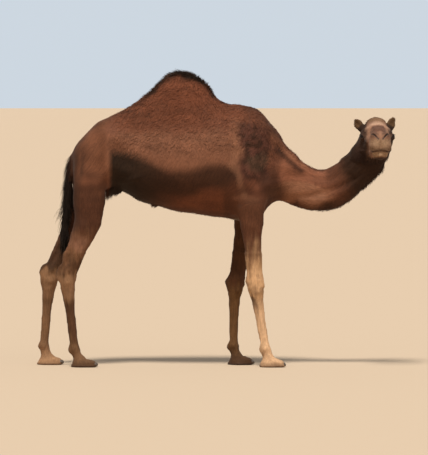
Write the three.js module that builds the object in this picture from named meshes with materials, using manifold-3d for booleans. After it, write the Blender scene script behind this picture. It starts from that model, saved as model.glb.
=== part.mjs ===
// A standing dromedary camel at life size, with its head turned to its right.
// Millimetres. +X is forward, +Y is the animal's left and +Z is up; the feet stand on z = 0.
// The flesh is described as one smooth distance field of tubes and ellipsoids, turned into a
// surface piece by piece, and parted by thin plane cuts where the animal's parts meet.
import * as THREE from "three";
import { mergeVertices } from "three/addons/utils/BufferGeometryUtils.js";
import Module from "manifold-3d";

const wasm = await Module();
wasm.setup();

// ---------------------------------------------------------------- driving dimensions
const GAP = 0.5; // width of every cut between two parts
const HUMP_TOP = 2086; // height of the hump's crest
const WITHERS = 1835; // height of the back in front of the hump
const CHEST_HALF = 222; // half widths of the barrel, from front to back
const BARREL_HALF = 285;
const HIP_HALF = 198;
const HEAD_AT = [1117, -185, 1604]; // middle of the skull, at the height of the eyes
const HEAD_YAW = -88; // degrees from straight ahead, negative to the right
const HEAD_PITCH = -4; // degrees, positive tips the muzzle down
const EYE_RADIUS = 24;
const EYE_AT = [32, 97, 0]; // in the head's own frame; the right eye mirrors y
const SOLE_LENGTH = 182;

// ---------------------------------------------------------------- distance fields
// A field is a function of (x, y, z) that is negative inside, roughly in millimetres.
const ellipseDistance = (a, b, c, ra, rb, rc) => {
  const k0 = Math.hypot(a / ra, b / rb, c / rc);
  const k1 = Math.hypot(a / ra ** 2, b / rb ** 2, c / rc ** 2);
  return k1 < 1e-9 ? -Math.min(ra, rb, rc) : (k0 * (k0 - 1)) / k1;
};

const smoothMin = (a, b, k) => {
  const h = Math.max(k - Math.abs(a - b), 0) / k;
  return Math.min(a, b) - (h * h * k) / 4;
};

// Joins fields, each with its own softness: blend(k, field, field, ...).
const blend = (k, ...fields) => (x, y, z) =>
  fields.reduce((d, f) => smoothMin(d, f(x, y, z), k), Infinity);

const carve = (k, field, tool) => (x, y, z) => -smoothMin(-field(x, y, z), tool(x, y, z), k);

// An ellipsoid, turned by pitch degrees about y, then by roll about x, then by yaw about z.
function lump(at, radii, { pitch = 0, roll = 0, yaw = 0 } = {}) {
  const turn = new THREE.Matrix4().makeRotationFromEuler(
    new THREE.Euler(...[roll, pitch, yaw].map(THREE.MathUtils.degToRad), "ZXY"),
  );
  const inverse = turn.clone().transpose().elements;
  const reach = Math.max(...radii) + 160;
  return (x, y, z) => {
    const dx = x - at[0];
    const dy = y - at[1];
    const dz = z - at[2];
    const far = Math.hypot(dx, dy, dz);
    if (far > reach) return far - reach + 160;
    const e = inverse;
    return ellipseDistance(
      e[0] * dx + e[4] * dy + e[8] * dz,
      e[1] * dx + e[5] * dy + e[9] * dz,
      e[2] * dx + e[6] * dy + e[10] * dz,
      ...radii,
    );
  };
}

// The same lump on both sides of a plane y = 0.
const pair = (k, at, radii, { pitch = 0, roll = 0, yaw = 0 } = {}) =>
  blend(
    k,
    lump(at, radii, { pitch, roll, yaw }),
    lump([at[0], -at[1], at[2]], radii, { pitch, roll: -roll, yaw: -yaw }),
  );

// An elliptical tube swept along a smooth spine. Each station is [x, y, z, deep, wide]: wide is the
// half width across the body, and deep the half size square to it and to the spine.
function tube(stations, { cap = 1, steps = 10 } = {}) {
  const spine = new THREE.CatmullRomCurve3(
    stations.map(([x, y, z]) => new THREE.Vector3(x, y, z)),
    false,
    "centripetal",
  );
  const last = stations.length - 1;
  const across = new THREE.Vector3(0, 1, 0);
  const rings = [];
  for (let i = 0; i <= last * steps; i++) {
    const t = i / (last * steps);
    const at = spine.getPoint(t);
    const along = spine.getTangent(t);
    const side = across.clone().addScaledVector(along, -across.dot(along)).normalize();
    const from = Math.min(last - 1, Math.floor(t * last));
    const share = THREE.MathUtils.smoothstep(t * last - from, 0, 1);
    const size = (n) => THREE.MathUtils.lerp(stations[from][n], stations[from + 1][n], share);
    const up = new THREE.Vector3().crossVectors(along, side);
    rings.push({ at, along, side, up, deep: size(3), wide: size(4) });
  }
  const box = new THREE.Box3().setFromPoints(rings.map((r) => r.at));
  box.expandByScalar(Math.max(...stations.flatMap((s) => [s[3], s[4]])));
  const p = new THREE.Vector3();
  const off = new THREE.Vector3();
  return (x, y, z) => {
    p.set(x, y, z);
    const away = box.distanceToPoint(p);
    if (away > 160) return away;
    let best = Infinity;
    let near = 0;
    rings.forEach((r, i) => {
      const d = r.at.distanceToSquared(p);
      if (d < best) [best, near] = [d, i];
    });
    const here = rings[near];
    let ahead = off.subVectors(p, here.at).dot(here.along);
    const next = rings[near + Math.sign(ahead)];
    let share = 0;
    if (next) {
      share = Math.min(1, Math.abs(ahead) / Math.max(1e-6, next.at.distanceTo(here.at)));
      ahead = 0;
    }
    const to = next ?? here;
    const mix = (a, b) => a + (b - a) * share;
    off.set(x - mix(here.at.x, to.at.x), y - mix(here.at.y, to.at.y), z - mix(here.at.z, to.at.z));
    const deep = mix(here.deep, to.deep);
    const wide = mix(here.wide, to.wide);
    return ellipseDistance(
      off.dot(here.up),
      off.dot(here.side),
      ahead,
      deep,
      wide,
      cap * Math.min(deep, wide),
    );
  };
}

// A field given in its own frame, placed by a matrix that holds no scale.
function placed(field, matrix) {
  const inverse = matrix.clone().invert();
  const p = new THREE.Vector3();
  return (x, y, z) => {
    p.set(x, y, z).applyMatrix4(inverse);
    return field(p.x, p.y, p.z);
  };
}

// ---------------------------------------------------------------- trunk
function trunkField() {
  const barrel = tube([
    [-885, 0, 1430, 140, 118],
    [-790, 0, 1445, 205, HIP_HALF],
    [-640, 0, 1466, 237, 232],
    [-430, 0, 1428, 306, 272],
    [-200, 0, 1408, 342, BARREL_HALF],
    [60, 0, 1402, 374, 268],
    [220, 0, 1408, 362, CHEST_HALF],
    [325, 0, 1395, 270, 150],
  ]);
  const backbone = tube([
    [-945, 0, 1480, 40, 65],
    [-880, 0, 1590, 50, 85],
    [-790, 0, 1665, 62, 100],
    [-620, 0, 1708, 75, 120],
    [-400, 0, 1735, 90, 125],
    [0, 0, 1735, 100, 115],
    [160, 0, WITHERS - 110, 98, 82],
    [255, 0, 1668, 86, 76],
    [325, 0, 1585, 88, 80],
  ]);
  const hump = blend(
    90,
    lump([-248, 0, 1765], [222, 145, HUMP_TOP - 1765], { pitch: 1 }),
    lump([-362, 0, 1755], [300, 145, 190], { pitch: -25 }),
    lump([-150, 0, 1800], [120, 120, 180], { pitch: 20 }),
  );
  const withers = lump([175, 0, 1728], [160, 66, 92]);
  const breast = lump([340, 0, 1290], [110, 112, 165], { pitch: 20 });
  const pad = lump([262, 0, 1055], [120, 78, 58]);
  const sheath = lump([-690, 0, 1215], [52, 26, 48], { pitch: 35 });
  return blend(60, blend(120, barrel, backbone, hump), withers, breast, pad, sheath);
}

function shoulderField() {
  return blend(
    70,
    pair(10, [235, 140, 1520], [120, 60, 260], { pitch: 20, roll: 14 }),
    pair(10, [318, 132, 1320], [95, 64, 125], { pitch: 10 }),
    pair(10, [215, 158, 1235], [118, 68, 160], { pitch: -28 }),
  );
}

function haunchField() {
  return blend(
    70,
    pair(10, [-855, 112, 1415], [135, 88, 200], { pitch: 8 }),
    pair(10, [-735, 152, 1610], [66, 50, 48]),
    pair(10, [-925, 66, 1390], [50, 50, 110]),
  );
}

// ---------------------------------------------------------------- neck and tail
const NECK = [
  [230, 0, 1425, 280, 160],
  [372, 0, 1358, 240, 138],
  [455, 0, 1335, 196, 122],
  [530, 0, 1294, 162, 110],
  [645, 0, 1243, 157, 102],
  [762, -6, 1232, 155, 98],
  [876, -24, 1280, 148, 94],
  [966, -52, 1360, 140, 92],
  [1040, -88, 1455, 122, 92],
  [1092, -118, 1555, 104, 88],
];
const neckField = () =>
  blend(40, tube(NECK), lump([1112, -110, 1392], [62, 66, 95], { pitch: 18 }));

const tailField = () =>
  blend(
    18,
    tube([
      [-935, 0, 1580, 36, 34],
      [-992, -6, 1480, 34, 32],
      [-1022, -12, 1380, 32, 32],
      [-1032, -18, 1290, 32, 30],
      [-1044, -26, 1130, 34, 30],
      [-1058, -32, 1010, 44, 36],
      [-1066, -34, 900, 42, 34],
      [-1064, -34, 830, 22, 18],
    ]),
    lump([-945, 0, 1555], [40, 42, 70], { pitch: 30 }),
  );

// ---------------------------------------------------------------- legs
// Each joint is [x, z]; y comes from the spread. A leg's sections repeat from its profile, whose
// rows are [bone, share of its length, deep, wide].
const FORE_PROFILE = [
  ["forearm", 0, 104, 66],
  ["forearm", 0.2, 88, 60],
  ["forearm", 0.42, 68, 52],
  ["forearm", 0.78, 60, 45],
  ["forearm", 0.93, 62, 50],
  ["cannon", 0, 62, 53],
  ["cannon", 0.13, 51, 44],
  ["cannon", 0.26, 40, 33],
  ["cannon", 0.55, 32, 28],
  ["cannon", 0.86, 32, 29],
  ["cannon", 1, 38, 38],
  ["pastern", 0.5, 32, 36],
  ["pastern", 1, 36, 44],
];
const HIND_PROFILE = [
  ["thigh", 0, 132, 92],
  ["thigh", 0.45, 122, 84],
  ["thigh", 1, 102, 68],
  ["shank", 0.22, 88, 60],
  ["shank", 0.5, 70, 48],
  ["shank", 0.82, 62, 42],
  ["cannon", 0, 63, 46],
  ["cannon", 0.13, 56, 43],
  ["cannon", 0.27, 42, 36],
  ["cannon", 0.48, 32, 29],
  ["cannon", 0.84, 31, 30],
  ["cannon", 1, 37, 38],
  ["pastern", 0.5, 31, 35],
  ["pastern", 1, 36, 43],
];
const LEGS = {
  foreleg_right: {
    side: -1,
    bones: {
      forearm: [[238, 1110], [272, 567]],
      cannon: [[272, 567], [343, 126]],
      pastern: [[343, 126], [375, 50]],
    },
    spread: [152, 118, 126],
    heel: 298,
  },
  foreleg_left: {
    side: 1,
    bones: {
      forearm: [[224, 1110], [137, 562]],
      cannon: [[130, 562], [121, 133]],
      pastern: [[121, 133], [146, 50]],
    },
    spread: [152, 118, 126],
    heel: 82,
  },
  hindleg_right: {
    side: -1,
    bones: {
      thigh: [[-882, 1330], [-894, 1030]],
      shank: [[-894, 1030], [-1040, 625]],
      cannon: [[-1044, 625], [-990, 126]],
      pastern: [[-990, 126], [-958, 50]],
    },
    spread: [128, 118, 132],
    heel: -1014,
  },
  hindleg_left: {
    side: 1,
    bones: {
      thigh: [[-905, 1330], [-965, 1035]],
      shank: [[-965, 1035], [-1166, 622]],
      cannon: [[-1174, 622], [-1214, 130]],
      pastern: [[-1214, 130], [-1186, 50]],
    },
    spread: [128, 118, 132],
    heel: -1262,
  },
};
const isFore = (name) => name.startsWith("fore");
const kneeOf = (leg) => leg.bones.cannon[0];
const fetlockOf = (leg) => leg.bones.cannon[1];

// How far from the middle plane the leg's centre line runs at a height: hip, knee and foot.
function lateral(leg, z) {
  const [top, knee, foot] = leg.spread;
  const bend = kneeOf(leg)[1];
  const { lerp, clamp } = THREE.MathUtils;
  return z > bend
    ? lerp(knee, top, clamp((z - bend) / 520, 0, 1))
    : lerp(foot, knee, clamp(z / bend, 0, 1));
}

function legField(name) {
  const leg = LEGS[name];
  const profile = isFore(name) ? FORE_PROFILE : HIND_PROFILE;
  const stations = profile.map(([bone, share, deep, wide]) => {
    const [[x0, z0], [x1, z1]] = leg.bones[bone];
    const z = THREE.MathUtils.lerp(z0, z1, share);
    return [THREE.MathUtils.lerp(x0, x1, share), leg.side * lateral(leg, z), z, deep, wide];
  });
  const [kneeX, kneeZ] = kneeOf(leg);
  const kneeY = leg.side * lateral(leg, kneeZ);
  const [fetlockX, fetlockZ] = fetlockOf(leg);
  const fetlockY = leg.side * lateral(leg, fetlockZ);
  const joints = isFore(name)
    ? [
        lump([kneeX + 14, kneeY, kneeZ - 4], [46, 50, 66]),
        lump([kneeX - 36, kneeY, kneeZ + 22], [24, 34, 44], { pitch: 12 }),
      ]
    : [
        lump([kneeX - 52, kneeY, kneeZ + 20], [26, 27, 52], { pitch: 18 }),
        lump([kneeX - 20, kneeY, kneeZ + 120], [22, 20, 110], { pitch: 22 }),
        lump([kneeX + 8, kneeY, kneeZ - 15], [46, 46, 62]),
      ];
  const dewclaw = lump([fetlockX - 22, fetlockY, fetlockZ - 14], [18, 30, 22]);
  return blend(26, tube(stations), ...joints, dewclaw);
}

// A broad padded foot with two toes, in its own frame: heel at x = 0, sole on z = 0.
function footField(fore) {
  const long = SOLE_LENGTH;
  const wide = fore ? 84 : 74;
  const pad = lump([long * 0.42, 0, 6], [long * 0.43, wide, 46]);
  const toes = pair(6, [long * 0.72, wide * 0.44, 12], [long * 0.29, wide * 0.46, 42], { yaw: 5 });
  const instep = lump([long * 0.36, 0, 42], [long * 0.25, wide * 0.6, 38], { pitch: 18 });
  return blend(16, pad, toes, instep);
}

const NAIL = [22, 17, 11]; // half sizes of a toenail
const NAIL_AT = [0.925, 36, 21]; // share of the sole's length, then half the nails' spread, then height
const NAIL_TILT = THREE.MathUtils.degToRad(24);

const footPlace = (leg) =>
  new THREE.Matrix4().makeTranslation(leg.heel, leg.side * leg.spread[2], 0);

// ---------------------------------------------------------------- head
// In its own frame: x towards the muzzle, y to the animal's left, z up, eyes at x = EYE_AT[0].
function headField() {
  const skull = blend(
    40,
    lump([-75, 0, 26], [120, 94, 80]),
    lump([18, 0, 34], [96, 92, 54], { pitch: 6 }),
    lump([-84, 0, 88], [80, 72, 54], { pitch: -8 }),
  );
  const orbits = pair(8, [34, 86, 4], [46, 29, 36]);
  const brows = pair(8, [26, 86, 32], [56, 30, 18], { pitch: 4 });
  const cheekbones = pair(8, [56, 64, -42], [104, 34, 36], { yaw: -10 });
  const jowls = pair(10, [-36, 52, -72], [90, 42, 76]);
  const jawBars = pair(16, [84, 36, -114], [140, 30, 30], { pitch: 4 });
  const bridge = tube([
    [10, 0, 18, 66, 82],
    [110, 0, 6, 62, 62],
    [200, 0, -10, 60, 58],
    [282, 0, -38, 50, 60],
  ]);
  const cheeks = lump([140, 0, -70], [150, 60, 66]);
  const muzzle = lump([262, 0, -62], [74, 76, 66], { pitch: 10 });
  const lips = pair(10, [292, 32, -90], [48, 42, 44], { pitch: 12 });
  const nostrilWings = pair(10, [274, 44, -14], [44, 27, 25], { pitch: 22 });
  const chin = lump([258, 0, -142], [64, 52, 29]);
  const throat = lump([-78, 0, -88], [88, 66, 78], { pitch: 30 });
  const face = blend(34, skull, bridge, cheeks, muzzle, jawBars, jowls, throat, cheekbones);
  return blend(18, face, orbits, brows, lips, nostrilWings, chin);
}

const headPlace = new THREE.Matrix4()
  .makeTranslation(...HEAD_AT)
  .multiply(new THREE.Matrix4().makeRotationZ(THREE.MathUtils.degToRad(HEAD_YAW)))
  .multiply(new THREE.Matrix4().makeRotationY(THREE.MathUtils.degToRad(HEAD_PITCH)));

// An ear in its own frame: root at the origin, tip up +z, hollow side towards +x.
const EAR_LENGTH = 100;
const EAR_SPLAY = [24, 38]; // degrees that the left ear and the right ear lean outwards
function earField() {
  const shell = lump([0, 0, EAR_LENGTH * 0.46], [21, 33, EAR_LENGTH * 0.55]);
  const hollow = lump([21, 0, EAR_LENGTH * 0.62], [17, 19, EAR_LENGTH * 0.4], { pitch: 4 });
  const stalk = lump([0, 0, 4], [26, 24, 34]);
  return blend(14, carve(8, shell, hollow), stalk);
}

const earPlace = (side) =>
  new THREE.Matrix4()
    .multiplyMatrices(headPlace, new THREE.Matrix4().makeTranslation(-96, side * 90, 56))
    .multiply(
      new THREE.Matrix4().makeRotationFromEuler(
        new THREE.Euler(
          THREE.MathUtils.degToRad(-EAR_SPLAY[side > 0 ? 0 : 1] * side),
          THREE.MathUtils.degToRad(-12),
          THREE.MathUtils.degToRad(side * 22),
          "XYZ",
        ),
      ),
    );

// The ear is cut free at this height above its root, square to its own length.
const EAR_CUT = 34;
const earPoint = (side) => new THREE.Vector3(0, 0, EAR_CUT).applyMatrix4(earPlace(side)).toArray();
const earWay = (side) => new THREE.Vector3(0, 0, -1).transformDirection(earPlace(side)).toArray();

// ---------------------------------------------------------------- the whole animal's field
const legFields = Object.keys(LEGS).map(legField);
const feet = Object.entries(LEGS).map(([name, leg]) => placed(footField(isFore(name)), footPlace(leg)));
const torso = blend(70, trunkField(), shoulderField(), haunchField(), neckField());
const body = blend(34, blend(60, torso, placed(headField(), headPlace)), blend(24, ...legFields, ...feet));

// ---------------------------------------------------------------- from field to surface
const CELL_CORNERS = [0, 1, 2, 3, 4, 5, 6, 7].map((c) => [c & 1, (c >> 1) & 1, (c >> 2) & 1]);
const CELL_EDGES = CELL_CORNERS.flatMap((a, i) =>
  CELL_CORNERS.slice(i + 1)
    .filter((b) => Math.abs(a[0] - b[0]) + Math.abs(a[1] - b[1]) + Math.abs(a[2] - b[2]) === 1)
    .map((b) => [a, b]),
);
// Each grid direction with the two that it turns into.
const WAYS = [[1, 0, 0], [0, 1, 0], [0, 0, 1]];
const TURNS = WAYS.map((way, m) => [way, WAYS[(m + 1) % 3], WAYS[(m + 2) % 3]]);

const gradient = (field, p, h = 0.5) =>
  new THREE.Vector3(
    field(p.x + h, p.y, p.z) - field(p.x - h, p.y, p.z),
    field(p.x, p.y + h, p.z) - field(p.x, p.y - h, p.z),
    field(p.x, p.y, p.z + h) - field(p.x, p.y, p.z - h),
  ).divideScalar(2 * h);

// Moves a point along the slope of the field until it lies on the surface.
function settle(field, p) {
  for (let i = 0; i < 3; i++) {
    const slope = gradient(field, p);
    p.addScaledVector(slope, -field(p.x, p.y, p.z) / Math.max(0.3, slope.lengthSq()));
  }
}

// Where the surface would cross one grid face twice, the nearer of its two outer corners is taken
// as inside, so that no edge of the surface is shared by more than two faces.
const JUST_INSIDE = -0.01;
function fillPinches(value, eachCell, slot) {
  let filled = true;
  while (filled) {
    filled = false;
    eachCell(0, (i, j, k) => {
      for (const [, u, v] of TURNS) {
        const corners = [[0, 0], [1, 0], [1, 1], [0, 1]].map(([a, b]) =>
          slot(i + a * u[0] + b * v[0], j + a * u[1] + b * v[1], k + a * u[2] + b * v[2]),
        );
        const [p, q, r, s] = corners.map((c) => value[c] < 0);
        if (p !== r || q !== s || p === q) continue;
        const [first, second] = p ? [corners[1], corners[3]] : [corners[0], corners[2]];
        value[value[first] < value[second] ? first : second] = JUST_INSIDE;
        filled = true;
      }
    });
  }
}

// The field's surface inside a box, as one closed solid: a vertex in each cell that the surface
// crosses and a quad across each grid edge that it cuts, evened out along the surface.
function surface(field, { low, high }, size) {
  const cell = typeof size === "number" ? [size, size, size] : size;
  const middle = low.map((v, m) => (v + high[m]) / 2);
  const half = low.map((v, m) => (high[m] - v) / 2);
  const boxed = (x, y, z) =>
    Math.max(
      field(x, y, z),
      Math.abs(x - middle[0]) - half[0],
      Math.abs(y - middle[1]) - half[1],
      Math.abs(z - middle[2]) - half[2],
    );
  const start = low.map((v, m) => v - 1.5 * cell[m]);
  const n = low.map((v, m) => Math.ceil((high[m] - v) / cell[m]) + 4);
  const slot = (i, j, k) => (i * n[1] + j) * n[2] + k;
  const value = new Float64Array(n[0] * n[1] * n[2]);
  const eachCell = (from, visit) => {
    for (let i = from; i < n[0] - 1; i++)
      for (let j = from; j < n[1] - 1; j++) for (let k = from; k < n[2] - 1; k++) visit(i, j, k);
  };
  for (let i = 0; i < n[0]; i++)
    for (let j = 0; j < n[1]; j++)
      for (let k = 0; k < n[2]; k++)
        value[slot(i, j, k)] = boxed(...[i, j, k].map((v, m) => start[m] + v * cell[m]));

  fillPinches(value, eachCell, slot);

  const points = [];
  const vertexOf = new Map();
  eachCell(0, (i, j, k) => {
    const sum = new THREE.Vector3();
    let count = 0;
    for (const [a, b] of CELL_EDGES) {
      const va = value[slot(i + a[0], j + a[1], k + a[2])];
      const vb = value[slot(i + b[0], j + b[1], k + b[2])];
      if (va < 0 === vb < 0) continue;
      const t = va / (va - vb);
      sum.x += i + a[0] + (b[0] - a[0]) * t;
      sum.y += j + a[1] + (b[1] - a[1]) * t;
      sum.z += k + a[2] + (b[2] - a[2]) * t;
      count++;
    }
    if (!count) return;
    vertexOf.set(slot(i, j, k), points.length);
    const scale = new THREE.Vector3(...cell);
    points.push(sum.divideScalar(count).multiply(scale).add(new THREE.Vector3(...start)));
  });

  const quads = [];
  eachCell(1, (i, j, k) => {
    const here = value[slot(i, j, k)] < 0;
    for (const [step, u, v] of TURNS) {
      if (here === value[slot(i + step[0], j + step[1], k + step[2])] < 0) continue;
      const cellAt = (a, b) =>
        vertexOf.get(slot(i - a * u[0] - b * v[0], j - a * u[1] - b * v[1], k - a * u[2] - b * v[2]));
      const ring = [cellAt(1, 1), cellAt(0, 1), cellAt(0, 0), cellAt(1, 0)];
      quads.push(here ? ring : ring.reverse());
    }
  });

  const neighbours = points.map(() => new Set());
  quads.forEach((q) => q.forEach((v, i) => neighbours[v].add(q[(i + 1) % 4]).add(q[(i + 3) % 4])));
  for (let round = 0; round < 3; round++) {
    const even = neighbours.map((near, i) => {
      const mean = new THREE.Vector3();
      near.forEach((m) => mean.add(points[m]));
      return mean.divideScalar(near.size).add(points[i]).divideScalar(2);
    });
    even.forEach((p) => settle(boxed, p));
    even.forEach((p, i) => points[i].copy(p));
  }
  const apart = (a, b) => points[a].distanceToSquared(points[b]);
  const triangles = quads.flatMap(([a, b, c, d]) =>
    apart(a, c) < apart(b, d) ? [a, b, c, a, c, d] : [a, b, d, b, c, d],
  );
  return new wasm.Manifold(
    new wasm.Mesh({
      numProp: 3,
      vertProperties: new Float32Array(points.flatMap((p) => [p.x, p.y, p.z])),
      triVerts: new Uint32Array(triangles),
    }),
  );
}

// ---------------------------------------------------------------- cutting
function solidOf(geometry) {
  geometry.deleteAttribute("normal");
  geometry.deleteAttribute("uv");
  const merged = mergeVertices(geometry, 1e-3);
  return new wasm.Manifold(
    new wasm.Mesh({
      numProp: 3,
      vertProperties: merged.attributes.position.array,
      triVerts: new Uint32Array(merged.index.array),
    }),
  );
}

// Everything behind a plane, out to further than the animal reaches.
const VAST = 8000;
function behind([at, normal], shift) {
  const n = new THREE.Vector3(...normal).normalize();
  const turn = new THREE.Quaternion().setFromUnitVectors(new THREE.Vector3(0, 0, 1), n);
  const centre = new THREE.Vector3(...at).addScaledVector(n, shift - VAST / 2);
  const place = new THREE.Matrix4().compose(centre, turn, new THREE.Vector3(1, 1, 1));
  return solidOf(new THREE.BoxGeometry(VAST, VAST, VAST).applyMatrix4(place));
}

// A zone is the space behind all of its planes, each given by a point and the way it faces.
// Cutting leaves half a gap on each side of it.
const zoneSolid = (zone, shift) =>
  zone.map((plane) => behind(plane, shift)).reduce((a, b) => a.intersect(b));
const inside = (solid, zone) => solid.intersect(zoneSolid(zone, -GAP / 2));
const outside = (solid, zone) => solid.subtract(zoneSolid(zone, GAP / 2));

// The largest body of a solid, as a cut through a curved surface can leave a crumb beside it.
const largest = (solid) => solid.decompose().reduce((a, b) => (a.volume() > b.volume() ? a : b));

const inHead = (...at) => new THREE.Vector3(...at).applyMatrix4(headPlace).toArray();
const headWay = (...way) => new THREE.Vector3(...way).transformDirection(headPlace).toArray();

// ---------------------------------------------------------------- where the parts meet
// A leg's zone slants up and outwards from the crotch, so that the elbow or thigh goes with its leg.
const legZone = (name) => {
  const { side } = LEGS[name];
  return isFore(name)
    ? [
        [[0, side * 85, 1062], [0, -side * 0.85, 0.53]],
        [[118, 0, 1080], [-1, 0, 0.15]],
        [[0, 0, 1185], [0, 0, 1]],
      ]
    : [
        [[0, side * 45, 1100], [0, -side * 0.77, 0.64]],
        [[-735, 0, 1240], [1, 0, -0.1]],
        [[0, 0, 1330], [0, 0, 1]],
      ];
};
const FLOOR = [[0, 0, -GAP / 2], [0, 0, -1]];
const NECK_ZONE = [
  [[425, 0, 1390], [-0.83, 0, 0.42]],
  [[470, 0, 1105], [-0.25, 0, -1]],
];
const NECK_MIDDLE = [[775, 0, 1240], [-0.97, 0, -0.2]];
const NECK_TOP = [inHead(-108, 0, -92), headWay(0.72, 0, 0.69)];
const HUMP_ROOT = [[-250, 0, 1850], [0.02, 0, -1]];
const TAIL_CLEARANCE = 4; // between the tail and the buttocks that it hangs against
const TASSEL = [[-1062, 0, 1085], [0, 0, 1]];
const PAD = [[262, 0, 1030], [0, 0, 1]];
const MOUTH = [
  [inHead(285, 0, -126), headWay(0.16, 0, 1)],
  [inHead(128, 0, -100), headWay(-1, 0, 0.25)],
];
const lowerLeg = ({ bones: { cannon: [[x, z]] } }) => [[x, 0, z - 72], [0, 0, 1]];
const footTop = ({ bones: { cannon: [, [x, z]] } }) => [[x, 0, z - 46], [0, 0, 1]];

// ---------------------------------------------------------------- materials
const coat = (color, roughness = 0.85) =>
  new THREE.MeshStandardMaterial({ color, roughness, metalness: 0 });
const MATERIALS = {
  brown_coat: coat(0x5a3220),
  dark_coat: coat(0x2a1a12),
  leg_coat: coat(0x6d4a30),
  callus: coat(0x6f5d4c, 0.7),
  eye: coat(0x120a06, 0.08),
  nail: coat(0x3a2c22, 0.45),
};

// ---------------------------------------------------------------- assembly
const animal = new THREE.Group();

function add(name, solid, material) {
  const mesh = largest(solid).getMesh();
  const geometry = new THREE.BufferGeometry();
  geometry.setAttribute("position", new THREE.BufferAttribute(new Float32Array(mesh.vertProperties), 3));
  geometry.setIndex(new THREE.BufferAttribute(new Uint32Array(mesh.triVerts), 1));
  geometry.computeVertexNormals();
  const node = new THREE.Mesh(geometry, MATERIALS[material]);
  node.name = name;
  animal.add(node);
}

const withoutLegs = (solid) =>
  Object.keys(LEGS).reduce((left, name) => outside(left, legZone(name)), solid);

function addTrunk() {
  const whole = surface(body, { low: [-1100, -330, 880], high: [640, 330, 2120] }, 84);
  const trunk = withoutLegs(outside(whole, NECK_ZONE));
  add("hump", inside(trunk, [HUMP_ROOT]), "brown_coat");
  add("chest_pad", inside(trunk, [PAD]), "callus");
  add("trunk", outside(outside(trunk, [HUMP_ROOT]), [PAD]), "brown_coat");
}

function addNeck() {
  const whole = surface(body, { low: [120, -330, 960], high: [1250, 260, 1700] }, 66);
  const neck = withoutLegs(inside(whole, [...NECK_ZONE, NECK_TOP]));
  add("neck_lower", outside(neck, [NECK_MIDDLE]), "brown_coat");
  add("neck_upper", inside(neck, [NECK_MIDDLE]), "dark_coat");
}

function addTail() {
  const reach = { low: [-1180, -140, 780], high: [-880, 120, 1640] };
  const rump = surface((x, y, z) => body(x, y, z) - TAIL_CLEARANCE, reach, 60);
  const tail = surface(tailField(), reach, [34, 30, 60]).subtract(rump);
  add("tail", outside(tail, [TASSEL]), "dark_coat");
  add("tail_tassel", inside(tail, [TASSEL]), "dark_coat");
}

function addLeg(name) {
  const leg = LEGS[name];
  const xs = Object.values(leg.bones).flat().map(([x]) => x);
  const reach = (below, above, half) => ({
    low: [Math.min(...xs, leg.heel) - half, leg.side > 0 ? -10 : -340, below],
    high: [Math.max(...xs, leg.heel + SOLE_LENGTH) + half, leg.side > 0 ? 340 : 10, above],
  });
  const kneeZ = kneeOf(leg)[1];
  const upper = surface(body, reach(kneeZ - 220, 1450, 260), [46, 42, 64]);
  const lower = surface(body, reach(-60, kneeZ + 60, 120), [27, 27, 48]);
  const lowest = surface(body, reach(-90, 200, 120), [36, 36, 27]);
  add(`${name}_upper`, outside(inside(upper, legZone(name)), [lowerLeg(leg)]), "leg_coat");
  add(`${name}_lower`, outside(inside(lower, [lowerLeg(leg)]), [footTop(leg)]), "leg_coat");
  let foot = inside(lowest, [footTop(leg), FLOOR]);
  for (const [toe, inward] of Object.entries({ inner: -1, outer: 1 })) {
    const nail = (grow) =>
      solidOf(
        new THREE.SphereGeometry(1, 7, 4)
          .scale(NAIL[0] + grow, NAIL[1] + grow, NAIL[2] + grow)
          .rotateY(NAIL_TILT)
          .translate(SOLE_LENGTH * NAIL_AT[0], inward * leg.side * NAIL_AT[1], NAIL_AT[2])
          .applyMatrix4(footPlace(leg)),
      );
    foot = foot.subtract(nail(GAP));
    add(`toenail_${name}_${toe}`, inside(nail(0), [FLOOR]), "nail");
  }
  add(`${name}_foot`, foot, "leg_coat");
}

function addHead() {
  const whole = surface(body, { low: [930, -570, 1390], high: [1330, 60, 1830] }, 28);
  let head = outside(whole, [NECK_TOP]);
  Object.entries({ left: 1, right: -1 }).forEach(([name, side]) => {
    const eyeball = (radius) =>
      solidOf(
        new THREE.SphereGeometry(radius, 12, 6)
          .translate(EYE_AT[0], side * EYE_AT[1], EYE_AT[2])
          .applyMatrix4(headPlace),
      );
    head = head.subtract(eyeball(EYE_RADIUS + GAP));
    add(`eye_${name}`, eyeball(EYE_RADIUS), "eye");
    const root = new THREE.Vector3().applyMatrix4(earPlace(side));
    const span = {
      low: root.clone().subScalar(160).toArray(),
      high: root.clone().addScalar(160).toArray(),
    };
    const ear = surface(placed(earField(), earPlace(side)), span, 16);
    const cut = [[earPoint(side), earWay(side)]];
    add(`ear_${name}`, inside(ear, cut), "dark_coat");
    head = head.add(outside(ear, cut));
  });
  add("lower_jaw", inside(head, MOUTH), "dark_coat");
  add("head", outside(head, MOUTH), "brown_coat");
}

addTrunk();
addNeck();
addTail();
Object.keys(LEGS).forEach(addLeg);
addHead();

// The frame's origin lies under the middle of the animal, on the ground.
const extent = new THREE.Box3().setFromObject(animal);
const middle = extent.getCenter(new THREE.Vector3());
animal.position.set(-middle.x, -middle.y, 0);

export default animal;
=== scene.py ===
import functools
import math
from types import SimpleNamespace

import bmesh
import bpy
import numpy as np
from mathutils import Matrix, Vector
from mathutils.bvhtree import BVHTree
from mathutils.kdtree import KDTree


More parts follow.
